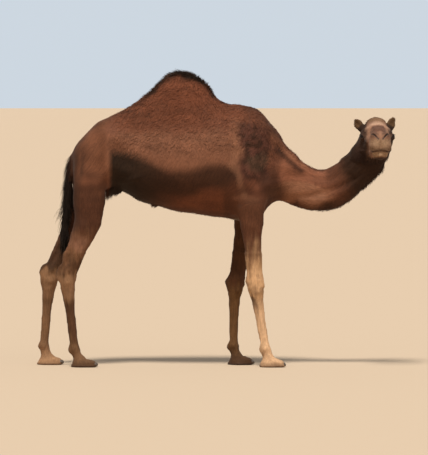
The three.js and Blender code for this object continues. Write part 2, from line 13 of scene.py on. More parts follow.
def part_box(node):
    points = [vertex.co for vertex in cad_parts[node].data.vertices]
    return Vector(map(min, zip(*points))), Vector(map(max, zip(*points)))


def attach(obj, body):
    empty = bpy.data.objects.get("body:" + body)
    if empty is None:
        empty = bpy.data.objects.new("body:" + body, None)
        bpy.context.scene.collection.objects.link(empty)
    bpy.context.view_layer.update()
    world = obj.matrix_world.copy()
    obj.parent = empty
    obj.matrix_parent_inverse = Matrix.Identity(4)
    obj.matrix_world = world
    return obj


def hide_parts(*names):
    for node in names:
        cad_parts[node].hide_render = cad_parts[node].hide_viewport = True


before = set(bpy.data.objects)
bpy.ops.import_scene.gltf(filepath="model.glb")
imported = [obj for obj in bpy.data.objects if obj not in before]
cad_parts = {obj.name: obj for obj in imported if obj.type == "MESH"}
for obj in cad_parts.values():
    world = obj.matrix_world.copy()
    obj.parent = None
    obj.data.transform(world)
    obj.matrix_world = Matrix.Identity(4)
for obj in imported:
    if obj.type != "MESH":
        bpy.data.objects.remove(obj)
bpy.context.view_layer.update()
random = np.random.default_rng(7)

LEGS = ("foreleg_right", "foreleg_left", "hindleg_right", "hindleg_left")
SIDES = {"left": 1, "right": -1}
BOTH = (1, -1)
MM = 0.001


# --- small helpers
def rise(low, high, value):
    """0 up to low, 1 from high on, and eased between them."""
    share = np.clip((value - low) / (high - low), 0, 1)
    return share * share * (3 - 2 * share)


def fall(low, high, value):
    return 1 - rise(low, high, value)


def band(low, high, soft, value):
    """1 between low and high, falling to 0 over soft on each side."""
    return rise(low - soft, low, value) * fall(high, high + soft, value)


def bell(gap, width):
    return np.exp(-((gap / width) ** 2))


def mix(a, b, share):
    return a + (b - a) * share


def within(value):
    return np.clip(value, 0, 1)


def size_of(vectors):
    return np.linalg.norm(vectors, axis=-1)


def unit(vectors):
    return vectors / np.maximum(size_of(vectors)[..., None], 1e-9)


def across(vectors, normals):
    """The part of each vector that lies in the surface, at length one."""
    return unit(vectors - (vectors * normals).sum(-1, keepdims=True) * normals)


def read(items, field, width=3, kind=float):
    """A field of every item of a mesh, one row for each."""
    flat = np.empty(len(items) * width, kind)
    items.foreach_get(field, flat)
    return flat.reshape(-1, width)


def points_of(mesh):
    return read(mesh.vertices, "co")


def move_points(mesh, points):
    mesh.vertices.foreach_set("co", points.ravel())
    mesh.update()


def in_scene(name, data):
    obj = bpy.data.objects.new(name, data)
    bpy.context.scene.collection.objects.link(obj)
    return obj


def opened(mesh):
    build = bmesh.new()
    build.from_mesh(mesh)
    return build


def closed(build, mesh):
    """The mesh, with the bmesh written to it and freed."""
    build.to_mesh(mesh)
    build.free()
    return mesh


# --- landmarks of the solids
@functools.cache
def box_array(node):
    return np.array([list(corner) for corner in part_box(node)])


def centre(node):
    return box_array(node).mean(0)


@functools.cache
def cad_points(*nodes):
    return np.concatenate([points_of(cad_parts[n].data) for n in nodes])


@functools.cache
def meeting(a, b):
    """The middle of the cut that two neighbouring nodes share."""
    one, other = cad_points(a), cad_points(b)
    gaps = size_of(one[:, None] - other[None]).min(1)
    return one[gaps < 2 * MM].mean(0)


def at_trunk(along, high, side):
    """A place by its share of the trunk's length and height, and metres from its middle plane."""
    low, top = box_array("trunk")
    return np.array([mix(low[0], top[0], along), MIDDLE_Y + side, mix(low[2], top[2], high)])


MIDDLE_Y = centre("hump")[1]
UP = np.array([0.0, 0.0, 1.0])
MUZZLE_LIFT = math.radians(4)
EYE = {side: centre(f"eye_{name}") for name, side in SIDES.items()}
EYE_RADIUS = (box_array("eye_left")[1] - box_array("eye_left")[0]).max() / 2
HEAD_ORIGIN = (EYE[1] + EYE[-1]) / 2
HEAD_LEFT = unit(EYE[1] - EYE[-1])
LEVEL_AHEAD = unit(np.cross(HEAD_LEFT, UP))
HEAD_AHEAD = math.cos(MUZZLE_LIFT) * LEVEL_AHEAD + math.sin(MUZZLE_LIFT) * UP
HEAD_UP = np.cross(HEAD_AHEAD, HEAD_LEFT)
HEAD_AXES = np.array([HEAD_AHEAD, HEAD_LEFT, HEAD_UP])


def to_head(points):
    """Places as (ahead, left, up) of the point midway between the eyes."""
    return (points - HEAD_ORIGIN) @ HEAD_AXES.T


def from_head(ahead, left, up):
    """A place given in millimetres from that point."""
    return HEAD_ORIGIN + np.array([ahead, left, up]) * MM @ HEAD_AXES


NECK_LINE = np.array([
    meeting("trunk", "neck_lower"),
    mix(centre("neck_lower"), cad_points("neck_lower").mean(0), 0.5),
    meeting("neck_lower", "neck_upper"),
    cad_points("neck_upper").mean(0),
    meeting("neck_upper", "head"),
])


# --- camera, floor and light
CAMERA_AIM = Vector((-0.011, MIDDLE_Y, 0.970))
CAMERA_AWAY = Vector((0, -27.0, 0.840))
LENS = 305
FAR_ENOUGH = 30000
FLOOR_SIZE = 20000
FLOOR_FINISH = {"Base Color": (0.50, 0.385, 0.275, 1), "Roughness": 0.9, "Specular IOR Level": 0.2}
LIT_BY = (0.40, 0.41, 0.42, 1)
BACKDROP = (0.61, 0.68, 0.75, 1)


def set_stage():
    camera = in_scene("camera", bpy.data.cameras.new("camera"))
    camera.location = CAMERA_AIM + CAMERA_AWAY
    camera.rotation_euler = (CAMERA_AIM - camera.location).to_track_quat("-Z", "Y").to_euler()
    camera.data.lens = LENS
    camera.data.sensor_width = 36
    camera.data.clip_end = FAR_ENOUGH
    bpy.context.scene.camera = camera

    bpy.ops.mesh.primitive_plane_add(size=FLOOR_SIZE)
    floor = bpy.context.object
    floor.name = "floor"
    floor.data.materials.append(new_material("pale_floor", FLOOR_FINISH)[0])

    add_soft_sun("key_light", (-0.10, -0.46, 1.0), 14, 4.1, (1.0, 0.96, 0.89))
    add_soft_sun("fill_light", (0.8, -0.8, 0.5), 60, 0.45, (1.0, 0.98, 0.95))
    bpy.context.scene.world = studio_world()
    bpy.context.scene.view_settings.view_transform = "Standard"


def studio_world():
    """A pale blue backdrop, and a dimmer neutral one for the light that falls on the animal."""
    world = bpy.data.worlds.new("studio")
    world.use_nodes = True
    tree = world.node_tree
    seen = put(tree, "LightPath", {}, "Is Camera Ray")
    feed(tree.nodes["Background"], {"Color": blend_node(tree, seen, LIT_BY, BACKDROP)})
    return world


def add_soft_sun(name, towards, softness, power, colour):
    """A wide, far light that comes from the given direction, softened over some degrees."""
    lamp = in_scene(name, bpy.data.lights.new(name, "SUN"))
    lamp.rotation_euler = Vector(towards).to_track_quat("Z", "Y").to_euler()
    lamp.data.angle = math.radians(softness)
    lamp.data.energy = power
    lamp.data.color = colour


# --- one skin from many nodes
FLESH = sorted(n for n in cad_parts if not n.startswith(("toenail_", "eye_")))
SOLIDS = sorted(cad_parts)
HEAD_NODES = [n for n in SOLIDS if n.startswith(("head", "lower_jaw", "ear_", "eye_", "neck_upper"))]
LEG_NODES = [n for n in SOLIDS if n.removeprefix("toenail_").startswith(LEGS)]
WELD = 0.01 * MM
SWELL = 1.5 * MM
BODY_CELL = 16 * MM
LEG_CELL = 7.8 * MM
HEAD_CELL = 5.4 * MM
NAIL_CELL = 2.4 * MM
LEG_CUT = [0.0, 0.0, 0.80]
NECK_CUT = NECK_LINE[3]
NECK_WAY = unit(NECK_LINE[4] - NECK_LINE[2])


def fused(name, nodes, cell):
    """Copies of the nodes, swelled over the thin cuts between them and made one even mesh."""
    build = bmesh.new()
    for node in nodes:
        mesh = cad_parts[node].data.copy()
        part = opened(mesh)
        bmesh.ops.remove_doubles(part, verts=part.verts, dist=WELD)
        part.normal_update()
        for vertex in part.verts:
            vertex.co += vertex.normal * SWELL
        build.from_mesh(closed(part, mesh))
        bpy.data.meshes.remove(mesh)
    obj = in_scene(name, closed(build, bpy.data.meshes.new(name)))
    remesh = obj.modifiers.new("even", "REMESH")
    remesh.mode = "VOXEL"
    remesh.voxel_size = cell
    with bpy.context.temp_override(object=obj, active_object=obj, selected_objects=[obj]):
        bpy.ops.object.modifier_apply(modifier=remesh.name)
    return obj


def without(obj, place, facing):
    """The object's mesh as a bmesh, cut by a plane, with what lies on the facing side taken off."""
    build = opened(obj.data)
    geometry = build.verts[:] + build.edges[:] + build.faces[:]
    bmesh.ops.bisect_plane(build, geom=geometry, plane_co=place, plane_no=facing, clear_outer=True)
    return build


def open_rims(build):
    """The closed rings of border edges, each with its middle."""
    border = {edge for edge in build.edges if edge.is_boundary}
    rims = []
    while border:
        ring, waiting = [], [next(iter(border))]
        border.discard(waiting[0])
        while waiting:
            edge = waiting.pop()
            ring.append(edge)
            for vertex in edge.verts:
                linked = [e for e in vertex.link_edges if e in border]
                border.difference_update(linked)
                waiting.extend(linked)
        corners = {v for e in ring for v in e.verts}
        rims.append((ring, sum((v.co for v in corners), Vector()) / len(corners)))
    return rims


def graft(coarse, fine, place, facing):
    """Puts the finer mesh in place of the coarser one on the facing side of a plane."""
    build = without(coarse, place, facing)
    mesh = closed(without(fine, place, -np.array(facing)), bpy.data.meshes.new("graft"))
    build.from_mesh(mesh)
    bpy.data.meshes.remove(mesh)
    rims = open_rims(build)
    while rims:
        ring, middle = rims.pop()
        partner = min(rims, key=lambda rim: (rim[1] - middle).length)
        rims.remove(partner)
        bmesh.ops.bridge_loops(build, edges=ring + partner[0])
    bmesh.ops.recalc_face_normals(build, faces=build.faces)
    closed(build, coarse.data)
    bpy.data.objects.remove(fine)


def link_table(mesh):
    """Each edge both ways round, sorted by its first vertex, with each vertex's count of links."""
    pairs = read(mesh.edges, "vertices", 2, np.int64)
    pairs = np.concatenate([pairs, pairs[:, ::-1]])
    return pairs[:, 0], pairs[:, 1], np.bincount(pairs[:, 0], minlength=len(mesh.vertices))


def averaged(values, links):
    first, second, count = links
    if values.ndim == 1:
        return np.bincount(first, values[second], len(count)) / np.maximum(count, 1)
    return np.stack([averaged(column, links) for column in values.T], 1)


def smoothed(points, links, rounds, amount, undo=0.0):
    """Evens out a surface. With undo a little over one, each round is followed by one outwards."""
    share = np.asarray(amount, float)
    share = share[:, None] if share.ndim == 1 and points.ndim == 2 else share
    for _ in range(rounds):
        points = points + share * (averaged(points, links) - points)
        if undo:
            points = points - undo * share * (averaged(points, links) - points)
    return points


def build_skin():
    skin = fused("skin", SOLIDS, BODY_CELL)
    graft(skin, fused("head_part", HEAD_NODES, HEAD_CELL), NECK_CUT, NECK_WAY)
    graft(skin, fused("leg_part", LEG_NODES, LEG_CELL), LEG_CUT, -UP)
    return skin


def refine(obj, places, reach):
    """Splits every face within reach of any of the places."""
    build = opened(obj.data)
    spots = np.array([vertex.co[:] for vertex in build.verts])
    near = size_of(spots[:, None] - np.array(places)[None]).min(1) < reach
    edges = [edge for edge in build.edges if near[edge.verts[0].index]]
    bmesh.ops.subdivide_edges(build, edges=edges, cuts=1, use_grid_fill=True)
    bmesh.ops.triangulate(build, faces=[f for f in build.faces if len(f.verts) > 4])
    closed(build, obj.data)


# --- shaping the skin
class Clay:
    """The skin while it is shaped: its points, their outward normals and their links."""

    def __init__(self, obj):
        self.mesh = obj.data
        self.links = link_table(self.mesh)
        self.points = points_of(self.mesh)
        self.refresh()

    def refresh(self):
        move_points(self.mesh, self.points)
        self.normals = read(self.mesh.vertices, "normal")
        self.tree = BVHTree.FromPolygons(
            self.points.tolist(), [p.vertices[:] for p in self.mesh.polygons]
        )

    def snapped(self, places):
        return np.array([list(self.tree.find_nearest(Vector(p))[0]) for p in places])

    def seen_from(self, place, way):
        """Where a straight look from a place first meets the skin, or else the skin nearest to it."""
        met = self.tree.ray_cast(Vector(place), Vector(way))[0]
        if met is None:
            met = self.tree.find_nearest(Vector(place))[0]
        return np.array(list(met))

    def raise_by(self, amount, ways=None):
        ways = self.normals if ways is None else ways
        self.points = self.points + ways * np.asarray(amount)[:, None]

    def draw(self, places, width, height, fade=0.35):
        """Strokes along a path with its corners eased."""
        self.stroke(rounded(places), width, height, fade)

    def stroke(self, path, width, height, fade=0.35):
        """Raises a ridge along a path on the skin, or sinks a groove if height is below 0, in mm."""
        width, height = width * MM, height * MM
        reach = 3 * width
        near = ((self.points > path.min(0) - reach) & (self.points < path.max(0) + reach)).all(1)
        spots = self.points[near]
        gap, share = distance_to_path(spots, path)
        ends = rise(0, fade, share) * rise(0, fade, 1 - share) if len(path) > 1 else 1
        self.points[near] += self.normals[near] * (height * bell(gap, width) * ends)[:, None]


PATH_STEPS = 6


def distance_to_path(spots, path):
    """Each spot's distance to a path of straight steps, and the nearest place's share along it."""
    if len(path) == 1:
        return size_of(spots - path[0]), np.zeros(len(spots))
    steps = size_of(np.diff(path, axis=0))
    passed = np.concatenate([[0], np.cumsum(steps)])
    best = np.full(len(spots), np.inf)
    share = np.zeros(len(spots))
    for i, step in enumerate(steps):
        way = (path[i + 1] - path[i]) / max(step, 1e-9)
        along = np.clip((spots - path[i]) @ way, 0, step)
        gap = size_of(spots - path[i] - along[:, None] * way)
        closer = gap < best
        best[closer] = gap[closer]
        share[closer] = (passed[i] + along[closer]) / passed[-1]
    return best, share


def rounded(path):
    """A path through the same points with its corners eased."""
    path = np.atleast_2d(path).astype(float)
    if len(path) < 3:
        return path
    ends = np.concatenate([[2 * path[0] - path[1]], path, [2 * path[-1] - path[-2]]])
    eased = []
    for a, b, c, d in zip(ends, ends[1:], ends[2:], ends[3:]):
        for t in np.arange(PATH_STEPS) / PATH_STEPS:
            curve = (2 * a - 5 * b + 4 * c - d) * t**2 + (3 * b - 3 * c + d - a) * t**3
            eased.append(0.5 * (2 * b + (c - a) * t + curve))
    return np.array(eased + [path[-1]])


# Muscle, bone and fold on each flank: a path of (share of the trunk's length, share of its height),
# then the stroke's width and height in millimetres.
FLANK_STROKES = [
    ([(0.182, 0.80), (0.172, 0.62), (0.168, 0.42), (0.175, 0.20)], 42, 13),  # front of the thigh
    ([(0.206, 0.74), (0.200, 0.56), (0.204, 0.36), (0.212, 0.24)], 26, -15),  # hollow before it
    ([(0.226, 0.68), (0.240, 0.52), (0.262, 0.38)], 62, -13),  # hollow of the flank
    ([(0.186, 0.26), (0.235, 0.22), (0.285, 0.17)], 17, 9),  # fold from stifle to belly
    ([(0.142, 0.805)], 44, 13),  # hip bone
    ([(0.070, 0.66), (0.048, 0.46), (0.045, 0.30)], 17, -6),  # between the thigh's muscles
    ([(0.115, 0.62), (0.105, 0.45), (0.112, 0.30)], 34, 5),
    ([(0.868, 0.90), (0.895, 0.72), (0.925, 0.50), (0.925, 0.38)], 30, 9),  # ridge of the shoulder blade
    ([(0.955, 0.78), (0.972, 0.60), (0.972, 0.44), (0.945, 0.24)], 20, -9),  # before the shoulder
    ([(0.790, 0.84), (0.775, 0.64), (0.772, 0.44), (0.780, 0.24)], 24, -11),  # behind the upper arm
    ([(0.835, 0.62), (0.842, 0.44), (0.850, 0.30)], 42, 7),  # the upper arm's muscle
    ([(0.900, 0.30)], 34, 7),  # point of the shoulder
    ([(0.870, 0.34), (0.835, 0.22)], 20, -4),
    ([(0.761, 0.165)], 18, 7),  # elbow
]
# The ribs, from the hindmost on.
for i in range(7):
    top, bottom = 0.36 + 0.052 * i, 0.335 + 0.055 * i
    FLANK_STROKES.append(([(top, 0.62), (mix(top, bottom, 0.5), 0.43), (bottom, 0.24)], 17, 2.2))
BESIDE = 0.6

# The neck's strokes run on both sides of its line: (share along it, turn around it in degrees from
# the nape), width and height.
NECK_STROKES = [
    ([(0.02, 62), (0.30, 58), (0.60, 55), (0.85, 52)], 15, -6),  # under the mane's ridge
    ([(0.00, 40), (0.30, 34), (0.70, 30)], 26, 5),
    ([(0.10, 128), (0.40, 126), (0.75, 122), (0.98, 118)], 15, -7),  # groove above the windpipe
    ([(0.15, 150), (0.45, 150), (0.80, 148)], 24, 6),  # windpipe
    ([(0.08, 100), (0.40, 98), (0.75, 95)], 34, 5),  # long muscle of the side
]


def shape_trunk(clay):
    def flank_place(along, high, side):
        return clay.seen_from(at_trunk(along, high, BESIDE * side), (0, -side, 0))

    def neck_place(share, turn, side):
        """A place on the neck's skin by its share along the neck and the turn from the nape."""
        spot = share * (len(line) - 1)
        low = min(int(spot), len(line) - 2)
        way = unit(line[low + 1] - line[low])
        nape = unit(UP - (UP @ way) * way)
        angle = math.radians(turn)
        look = math.cos(angle) * nape + math.sin(angle) * side * np.cross(nape, way)
        return clay.seen_from(mix(line[low], line[low + 1], spot - low), look)

    line = rounded(NECK_LINE)
    for side in BOTH:
        for strokes, place in ((FLANK_STROKES, flank_place), (NECK_STROKES, neck_place)):
            for path, width, height in strokes:
                clay.draw([place(*p, side) for p in path], width, height)
    clay.refresh()


# --- legs
# How far the knee or hock, and the fetlock, stand above the cuts next to them.
KNEE_RISE = 72 * MM
FETLOCK_RISE = 46 * MM
# How much of a leg's height is looked at to find its middle: up to just over the knee, and above.
SLIM_RING, UPPER_RING, SLIM_TO = 34 * MM, 60 * MM, 100 * MM


def leg_levels(leg):
    """Heights of a leg's knee or hock and of its fetlock."""
    knee = meeting(f"{leg}_upper", f"{leg}_lower")[2] + KNEE_RISE
    fetlock = meeting(f"{leg}_lower", f"{leg}_foot")[2] + FETLOCK_RISE
    return knee, fetlock


def on_leg(clay, leg, height, turn):
    """A place on a leg's skin at a height, turned from its front towards its outer side."""
    side = SIDES[leg.split("_")[1]]
    corners = cad_points(f"{leg}_upper", f"{leg}_lower", f"{leg}_foot")
    window = SLIM_RING if height < leg_levels(leg)[0] + SLIM_TO else UPPER_RING
    ring = corners[np.abs(corners[:, 2] - height) < window]
    middle = (ring.min(0) + ring.max(0)) / 2
    middle[2] = height
    angle = math.radians(turn)
    return clay.seen_from(middle, (math.cos(angle), side * math.sin(angle), 0))


# Each leg's strokes: a path of (joint, millimetres over it, turn in degrees from the leg's front),
# then width and height. K is the knee or hock and F the fetlock. A stroke with BOTH is on the inner
# side of the leg as well.
K, F = 0, 1
CANNON_STROKES = [
    ([(K, -95, 118), (K, -190, 122), (F, 60, 122)], 8, -5, BOTH),  # groove before the tendon
    ([(K, -80, 180), (K, -190, 180), (F, 50, 180)], 9, 4),  # tendon
    ([(K, -90, 0), (F, 70, 0)], 12, 2),
    ([(F, 4, 90)], 17, 4, BOTH),
    ([(F, 42, 180)], 13, -5),
    ([(F, -6, 180)], 17, 6),  # pad behind the fetlock
    ([(F, -34, 180)], 12, -4),
    ([(F, -2, 0)], 16, 3),
]
FORE_STROKES = [
    ([(K, 26, 0), (K, -20, 0)], 30, 5),  # front of the knee
    ([(K, 42, 62)], 17, 5, BOTH),
    ([(K, -42, 60)], 15, 4, BOTH),
    ([(K, 12, 60), (K, 10, 0), (K, 12, -60)], 7, -3),
    ([(K, -22, 55), (K, -24, 0), (K, -22, -55)], 7, -2.5),
    ([(K, 30, 178)], 18, 7),  # bone behind the knee
    ([(K, -14, 180)], 15, -5),
    ([(K, 430, 30), (K, 260, 35), (K, 110, 30)], 24, 7),  # long muscles of the forearm
    ([(K, 420, 82), (K, 260, 84), (K, 90, 86)], 12, -6),
    ([(K, 400, 130), (K, 250, 130), (K, 110, 135)], 26, 5),
    ([(K, 400, -70), (K, 240, -78), (K, 90, -84)], 12, -5),
    ([(K, 120, 178), (K, 60, 178)], 14, -4),
]
HIND_STROKES = [
    ([(K, 330, 178), (K, 180, 180), (K, 50, 180)], 12, 8),  # long tendon to the hock
    ([(K, 300, 132), (K, 170, 136), (K, 60, 128)], 18, -12, BOTH),  # hollow before it
    ([(K, 34, 180)], 16, 7),  # point of the hock
    ([(K, 46, 84)], 16, 6, BOTH),
    ([(K, 6, 100)], 13, -4, BOTH),
    ([(K, -38, 74)], 15, 4, BOTH),
    ([(K, 20, 0), (K, -40, 0)], 14, 3),
    ([(K, 420, 10), (K, 300, 20), (K, 160, 20)], 34, 7),  # muscle before the shin
    ([(K, 420, 78), (K, 280, 74), (K, 120, 70)], 12, -6),
    ([(K, 400, 120), (K, 300, 116)], 34, 6),
    ([(K, 90, 14), (K, 50, 6)], 14, -4),
]


def shape_legs(clay):
    for leg in LEGS:
        base = leg_levels(leg)
        strokes = CANNON_STROKES + (FORE_STROKES if leg.startswith("fore") else HIND_STROKES)
        for path, width, height, *rest in strokes:
            for hand in rest[0] if rest else (1,):
                places = [on_leg(clay, leg, base[k] + up * MM, hand * turn) for k, up, turn in path]
                clay.draw(places, width, height, 0.25)
    clay.refresh()


def shape_feet(clay):
    """The cleft between the two toes, the folds over them and the swell of the sole's pad."""
    for leg in LEGS:
        (back, _, _), (front, _, _) = box_array(f"{leg}_foot")
        middle = centre(f"{leg}_foot")
        cleft = [
            clay.seen_from((mix(back, front, share), middle[1], 0.3), -UP)
            for share in (0.55, 0.68, 0.82, 0.93)
        ]
        clay.draw(cleft + [[front - 14 * MM, middle[1], 12 * MM]], 7, -9, 0.2)
        for toe in ("inner", "outer"):
            nail = centre(f"toenail_{leg}_{toe}")
            knuckle = nail + np.array([-44, 0, 60]) * MM
            clay.draw(clay.snapped([knuckle]), 17, 4)
            crease = [nail + np.array([-20, across_nail, 14]) * MM for across_nail in (-18, 0, 18)]
            clay.draw(clay.snapped(crease), 5, -3, 0.2)
        near = (np.abs(clay.points - [*middle[:2], 0]) < [0.16, 0.12, 1]).all(1)
        outwards = unit(clay.points * [1, 1, 0] - [mix(back, front, 0.45), middle[1], 0])
        outwards[:, 2] = 0
        for bottom, top, height in ((4, 13, 2.5), (20, 25, -2.0)):
            ring = near * band(bottom * MM, top * MM, 6 * MM, clay.points[:, 2])
            clay.raise_by(height * MM * ring, outwards)
    clay.refresh()


# --- head
# Face strokes on both sides, in millimetres (ahead, outwards, up) of the point between the eyes.
FACE_STROKES = [
    ([(-4, 92, 2)], 44, 13),  # the rim of the eye socket
    ([(42, 84, 26), (10, 104, 33), (-26, 106, 28), (-44, 98, 12)], 9, 6),  # brow over the eye
    ([(-52, 80, 60)], 24, -8),  # hollow of the temple
    ([(30, 98, -30), (-6, 104, -34), (-48, 100, -20), (-84, 92, 4)], 10, 5),  # cheekbone
    ([(44, 86, -36), (84, 74, -40), (124, 62, -42)], 10, 5),  # crest of the face
    ([(76, 74, -74)], 26, -8),  # hollow of the cheek
    ([(-30, 74, -70), (-44, 70, -100)], 34, 7),  # cheek muscle
    ([(6, 70, -130), (-60, 62, -140)], 12, 4),  # corner of the jaw
    ([(10, 36, 68), (70, 32, 62), (140, 30, 50), (200, 30, 30)], 10, 4),  # edge of the nose bone
    ([(60, 66, 18), (110, 58, 10), (160, 54, 0)], 20, -5),  # side of the nose
    ([(168, 56, -30)], 26, -6),  # behind the muzzle
    ([(118, 62, -96), (70, 66, -92)], 7, -3),  # fold behind the mouth's corner
    ([(126, 60, -82), (150, 62, -70)], 6, -2.5),
    ([(142, 61, -84), (166, 63, -66)], 5, -2),
    ([(60, 50, -132), (110, 44, -136)], 12, 4),  # jaw bar
    ([(50, 88, 4), (66, 80, -14), (64, 78, -34)], 5, -2.5),  # fold before the eye
    ([(22, 99, -27), (-4, 104, -31), (-26, 102, -26)], 4, -2.5),  # bag under the eye
    ([(196, 40, 22), (214, 48, 6), (216, 56, -16)], 7, -2.5),  # folds behind the nostril
    ([(180, 42, 28), (196, 52, 8), (196, 58, -14)], 6, -2),
    ([(276, 22, -76), (262, 46, -78), (232, 62, -70)], 18, 5),  # fullness of the upper lip
    ([(262, 24, -142), (226, 40, -140)], 14, 4),  # lower lip
    ([(250, 52, -98), (214, 66, -92)], 5, -2),
]
MID_STROKES = [
    ([(300, 0, -30), (304, 0, -62), (300, 0, -112)], 4.5, -7),  # split of the upper lip
    ([(-60, 0, 140), (0, 0, 100)], 34, 3),  # forehead
    ([(30, 0, 74), (120, 0, 66)], 12, -2.5),
    ([(250, 0, 20), (215, 0, 38)], 20, 3),
    ([(262, 0, -168), (220, 0, -168)], 18, 4),  # chin
    ([(200, 0, -160), (150, 0, -152)], 12, -4),
]
# Slits that are cut deep, outer end first.
NOSTRIL = [(236, 55, -2), (262, 43, -9), (282, 29, -20), (297, 15, -34)]
MOUTH = [(305, 0, -118), (297, 26, -117), (270, 52, -113), (222, 66, -105), (170, 64, -98), (132, 62, -92)]


def face_places(path, side):
    return np.array([from_head(ahead, out * side, up) for ahead, out, up in path])


def shape_face(clay):
    def on_face(path, side):
        return clay.snapped(face_places(path, side))

    def ridge(path, shift, width, height, fade=0.35):
        clay.stroke(clay.snapped(path + HEAD_UP * shift * MM), width, height, fade)

    for strokes, sides in ((FACE_STROKES, BOTH), (MID_STROKES, (1,))):
        for side in sides:
            for path, width, height in strokes:
                clay.draw(on_face(path, side), width, height)
    clay.refresh()
    for side in BOTH:
        slit = rounded(on_face(NOSTRIL, side))
        ridge(slit, 11, 8, 6)
        ridge(slit, -10, 8, 4)
        clay.refresh()
        ridge(slit, 0, 4.2, -11, 0.3)
        lips = rounded(on_face(MOUTH, side))
        ridge(lips, 9, 6, 2.5, 0.1)
        ridge(lips, -10, 6, 3, 0.1)
        clay.refresh()
        ridge(lips, 0, 3.8, -9, 0.08)
        clay.refresh()


LID_WIDTH = 21 * MM
LID_RISE = 13 * MM
LID_DROP = 10 * MM
LID_THICK = 3.0 * MM
LID_POINT = 1.7


def eye_axes(side):
    """The eye's own axes: out of the head, towards the nose and up."""
    out = unit(side * 0.90 * HEAD_LEFT + 0.42 * HEAD_AHEAD + 0.06 * HEAD_UP)
    upward = unit(HEAD_UP - (HEAD_UP @ out) * out)
    ahead = unit(HEAD_AHEAD - (HEAD_AHEAD @ out) * out)
    tilt = math.radians(-10)
    nose = math.cos(tilt) * ahead + math.sin(tilt) * upward
    return out, nose, unit(upward - (upward @ nose) * nose)


def lid_arch(share):
    """How far open the lids are at a share of their width to either side, from 1 down to 0."""
    return np.sqrt(np.maximum(1 - np.abs(share) ** LID_POINT, 0))


def lid_gap(towards_nose, upward):
    """How far a place on the eyeball is outside the opening of the lids; below 0 is inside it."""
    lid = np.where(upward > 0, LID_RISE, LID_DROP) * lid_arch(within(np.abs(towards_nose) / LID_WIDTH))
    beyond = np.maximum(np.abs(towards_nose) - LID_WIDTH, 0)
    past = np.abs(upward) - lid
    return np.hypot(np.maximum(past, 0), beyond) + np.where(beyond == 0, np.minimum(past, 0), 0)


def eye_places(points, side):
    """Distance and way from the eye's middle, the gap to the lids' edge, and the height on the ball."""
    out, nose, upward = eye_axes(side)
    offset = points - EYE[side]
    radius = size_of(offset)
    ways = offset / np.maximum(radius, 1e-6)[:, None]
    up_eye = (ways @ upward) * EYE_RADIUS
    gap = lid_gap((ways @ nose) * EYE_RADIUS, up_eye)
    return radius, ways, np.where(ways @ out > 0, gap, 40 * MM), up_eye


def shape_lids(clay):
    """Draws the skin over the eyeballs as lids, with a rolled edge, a crease and a fold above."""
    for side in BOTH:
        radius, ways, gap, upward = eye_places(clay.points, side)
        above = rise(-2 * MM, 4 * MM, upward)
        lid = EYE_RADIUS + LID_THICK + 1.6 * MM * bell(gap - 2.5 * MM, 2.2 * MM)
        lid = lid - (0.8 + 1.1 * above) * MM * bell(gap - 9 * MM, 2.0 * MM)
        lid = lid + (1.0 + 2.4 * above) * MM * bell(gap - 14 * MM, 3.5 * MM)
        lid = mix(lid, EYE_RADIUS - 5 * MM, fall(-1.2 * MM, 0.8 * MM, gap))
        target = mix(radius, lid, fall(7 * MM, 30 * MM, gap))
        near = radius < 75 * MM
        clay.points[near] = (EYE[side] + ways * target[:, None])[near]
    clay.refresh()


# --- regions of the skin
def nearest_nodes(points):
    """The name of the solid nearest to each point."""
    corners, faces, owners = [], [], []
    for node in FLESH:
        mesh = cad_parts[node].data
        start = len(corners)
        corners += [tuple(vertex.co) for vertex in mesh.vertices]
        faces += [tuple(start + i for i in face.vertices) for face in mesh.polygons]
        owners += [node] * len(mesh.polygons)
    tree = BVHTree.FromPolygons(corners, faces)
    return np.array([owners[tree.find_nearest(Vector(p))[2]] for p in points])


WAVES = 7


def ripples(points, size, seed):
    """Soft random ups and downs between -1 and 1, about size metres from one to the next."""
    draw = np.random.default_rng(seed)
    total = np.zeros(len(points))
    for _ in range(WAVES):
        way = unit(draw.normal(size=3)) * draw.uniform(0.7, 1.5) * math.pi / size
        bend = 1.6 * np.sin(points @ (unit(draw.normal(size=3)) * 1.3 / size) + draw.uniform(0, 6))
        total += np.sin(points @ way + draw.uniform(0, 6) + bend)
    return total / 3.2


# Each region of the skin, with how the names of its nodes start.
REGIONS = {
    "hump": "hump", "trunk": ("trunk", "hump", "chest_pad"), "neck": "neck",
    "head": ("head", "lower_jaw"), "ears": "ear_", "tail": "tail", "tassel": "tail_tassel",
    "legs": ("foreleg", "hindleg"), "fore": "foreleg", "hind": "hindleg",
    "feet": [f"{leg}_foot" for leg in LEGS], "pad": "chest_pad",
}
EDGE_ROUNDS = {"ears": 4, "tail": 4, "tassel": 4, "pad": 3}
STATION = 0.03


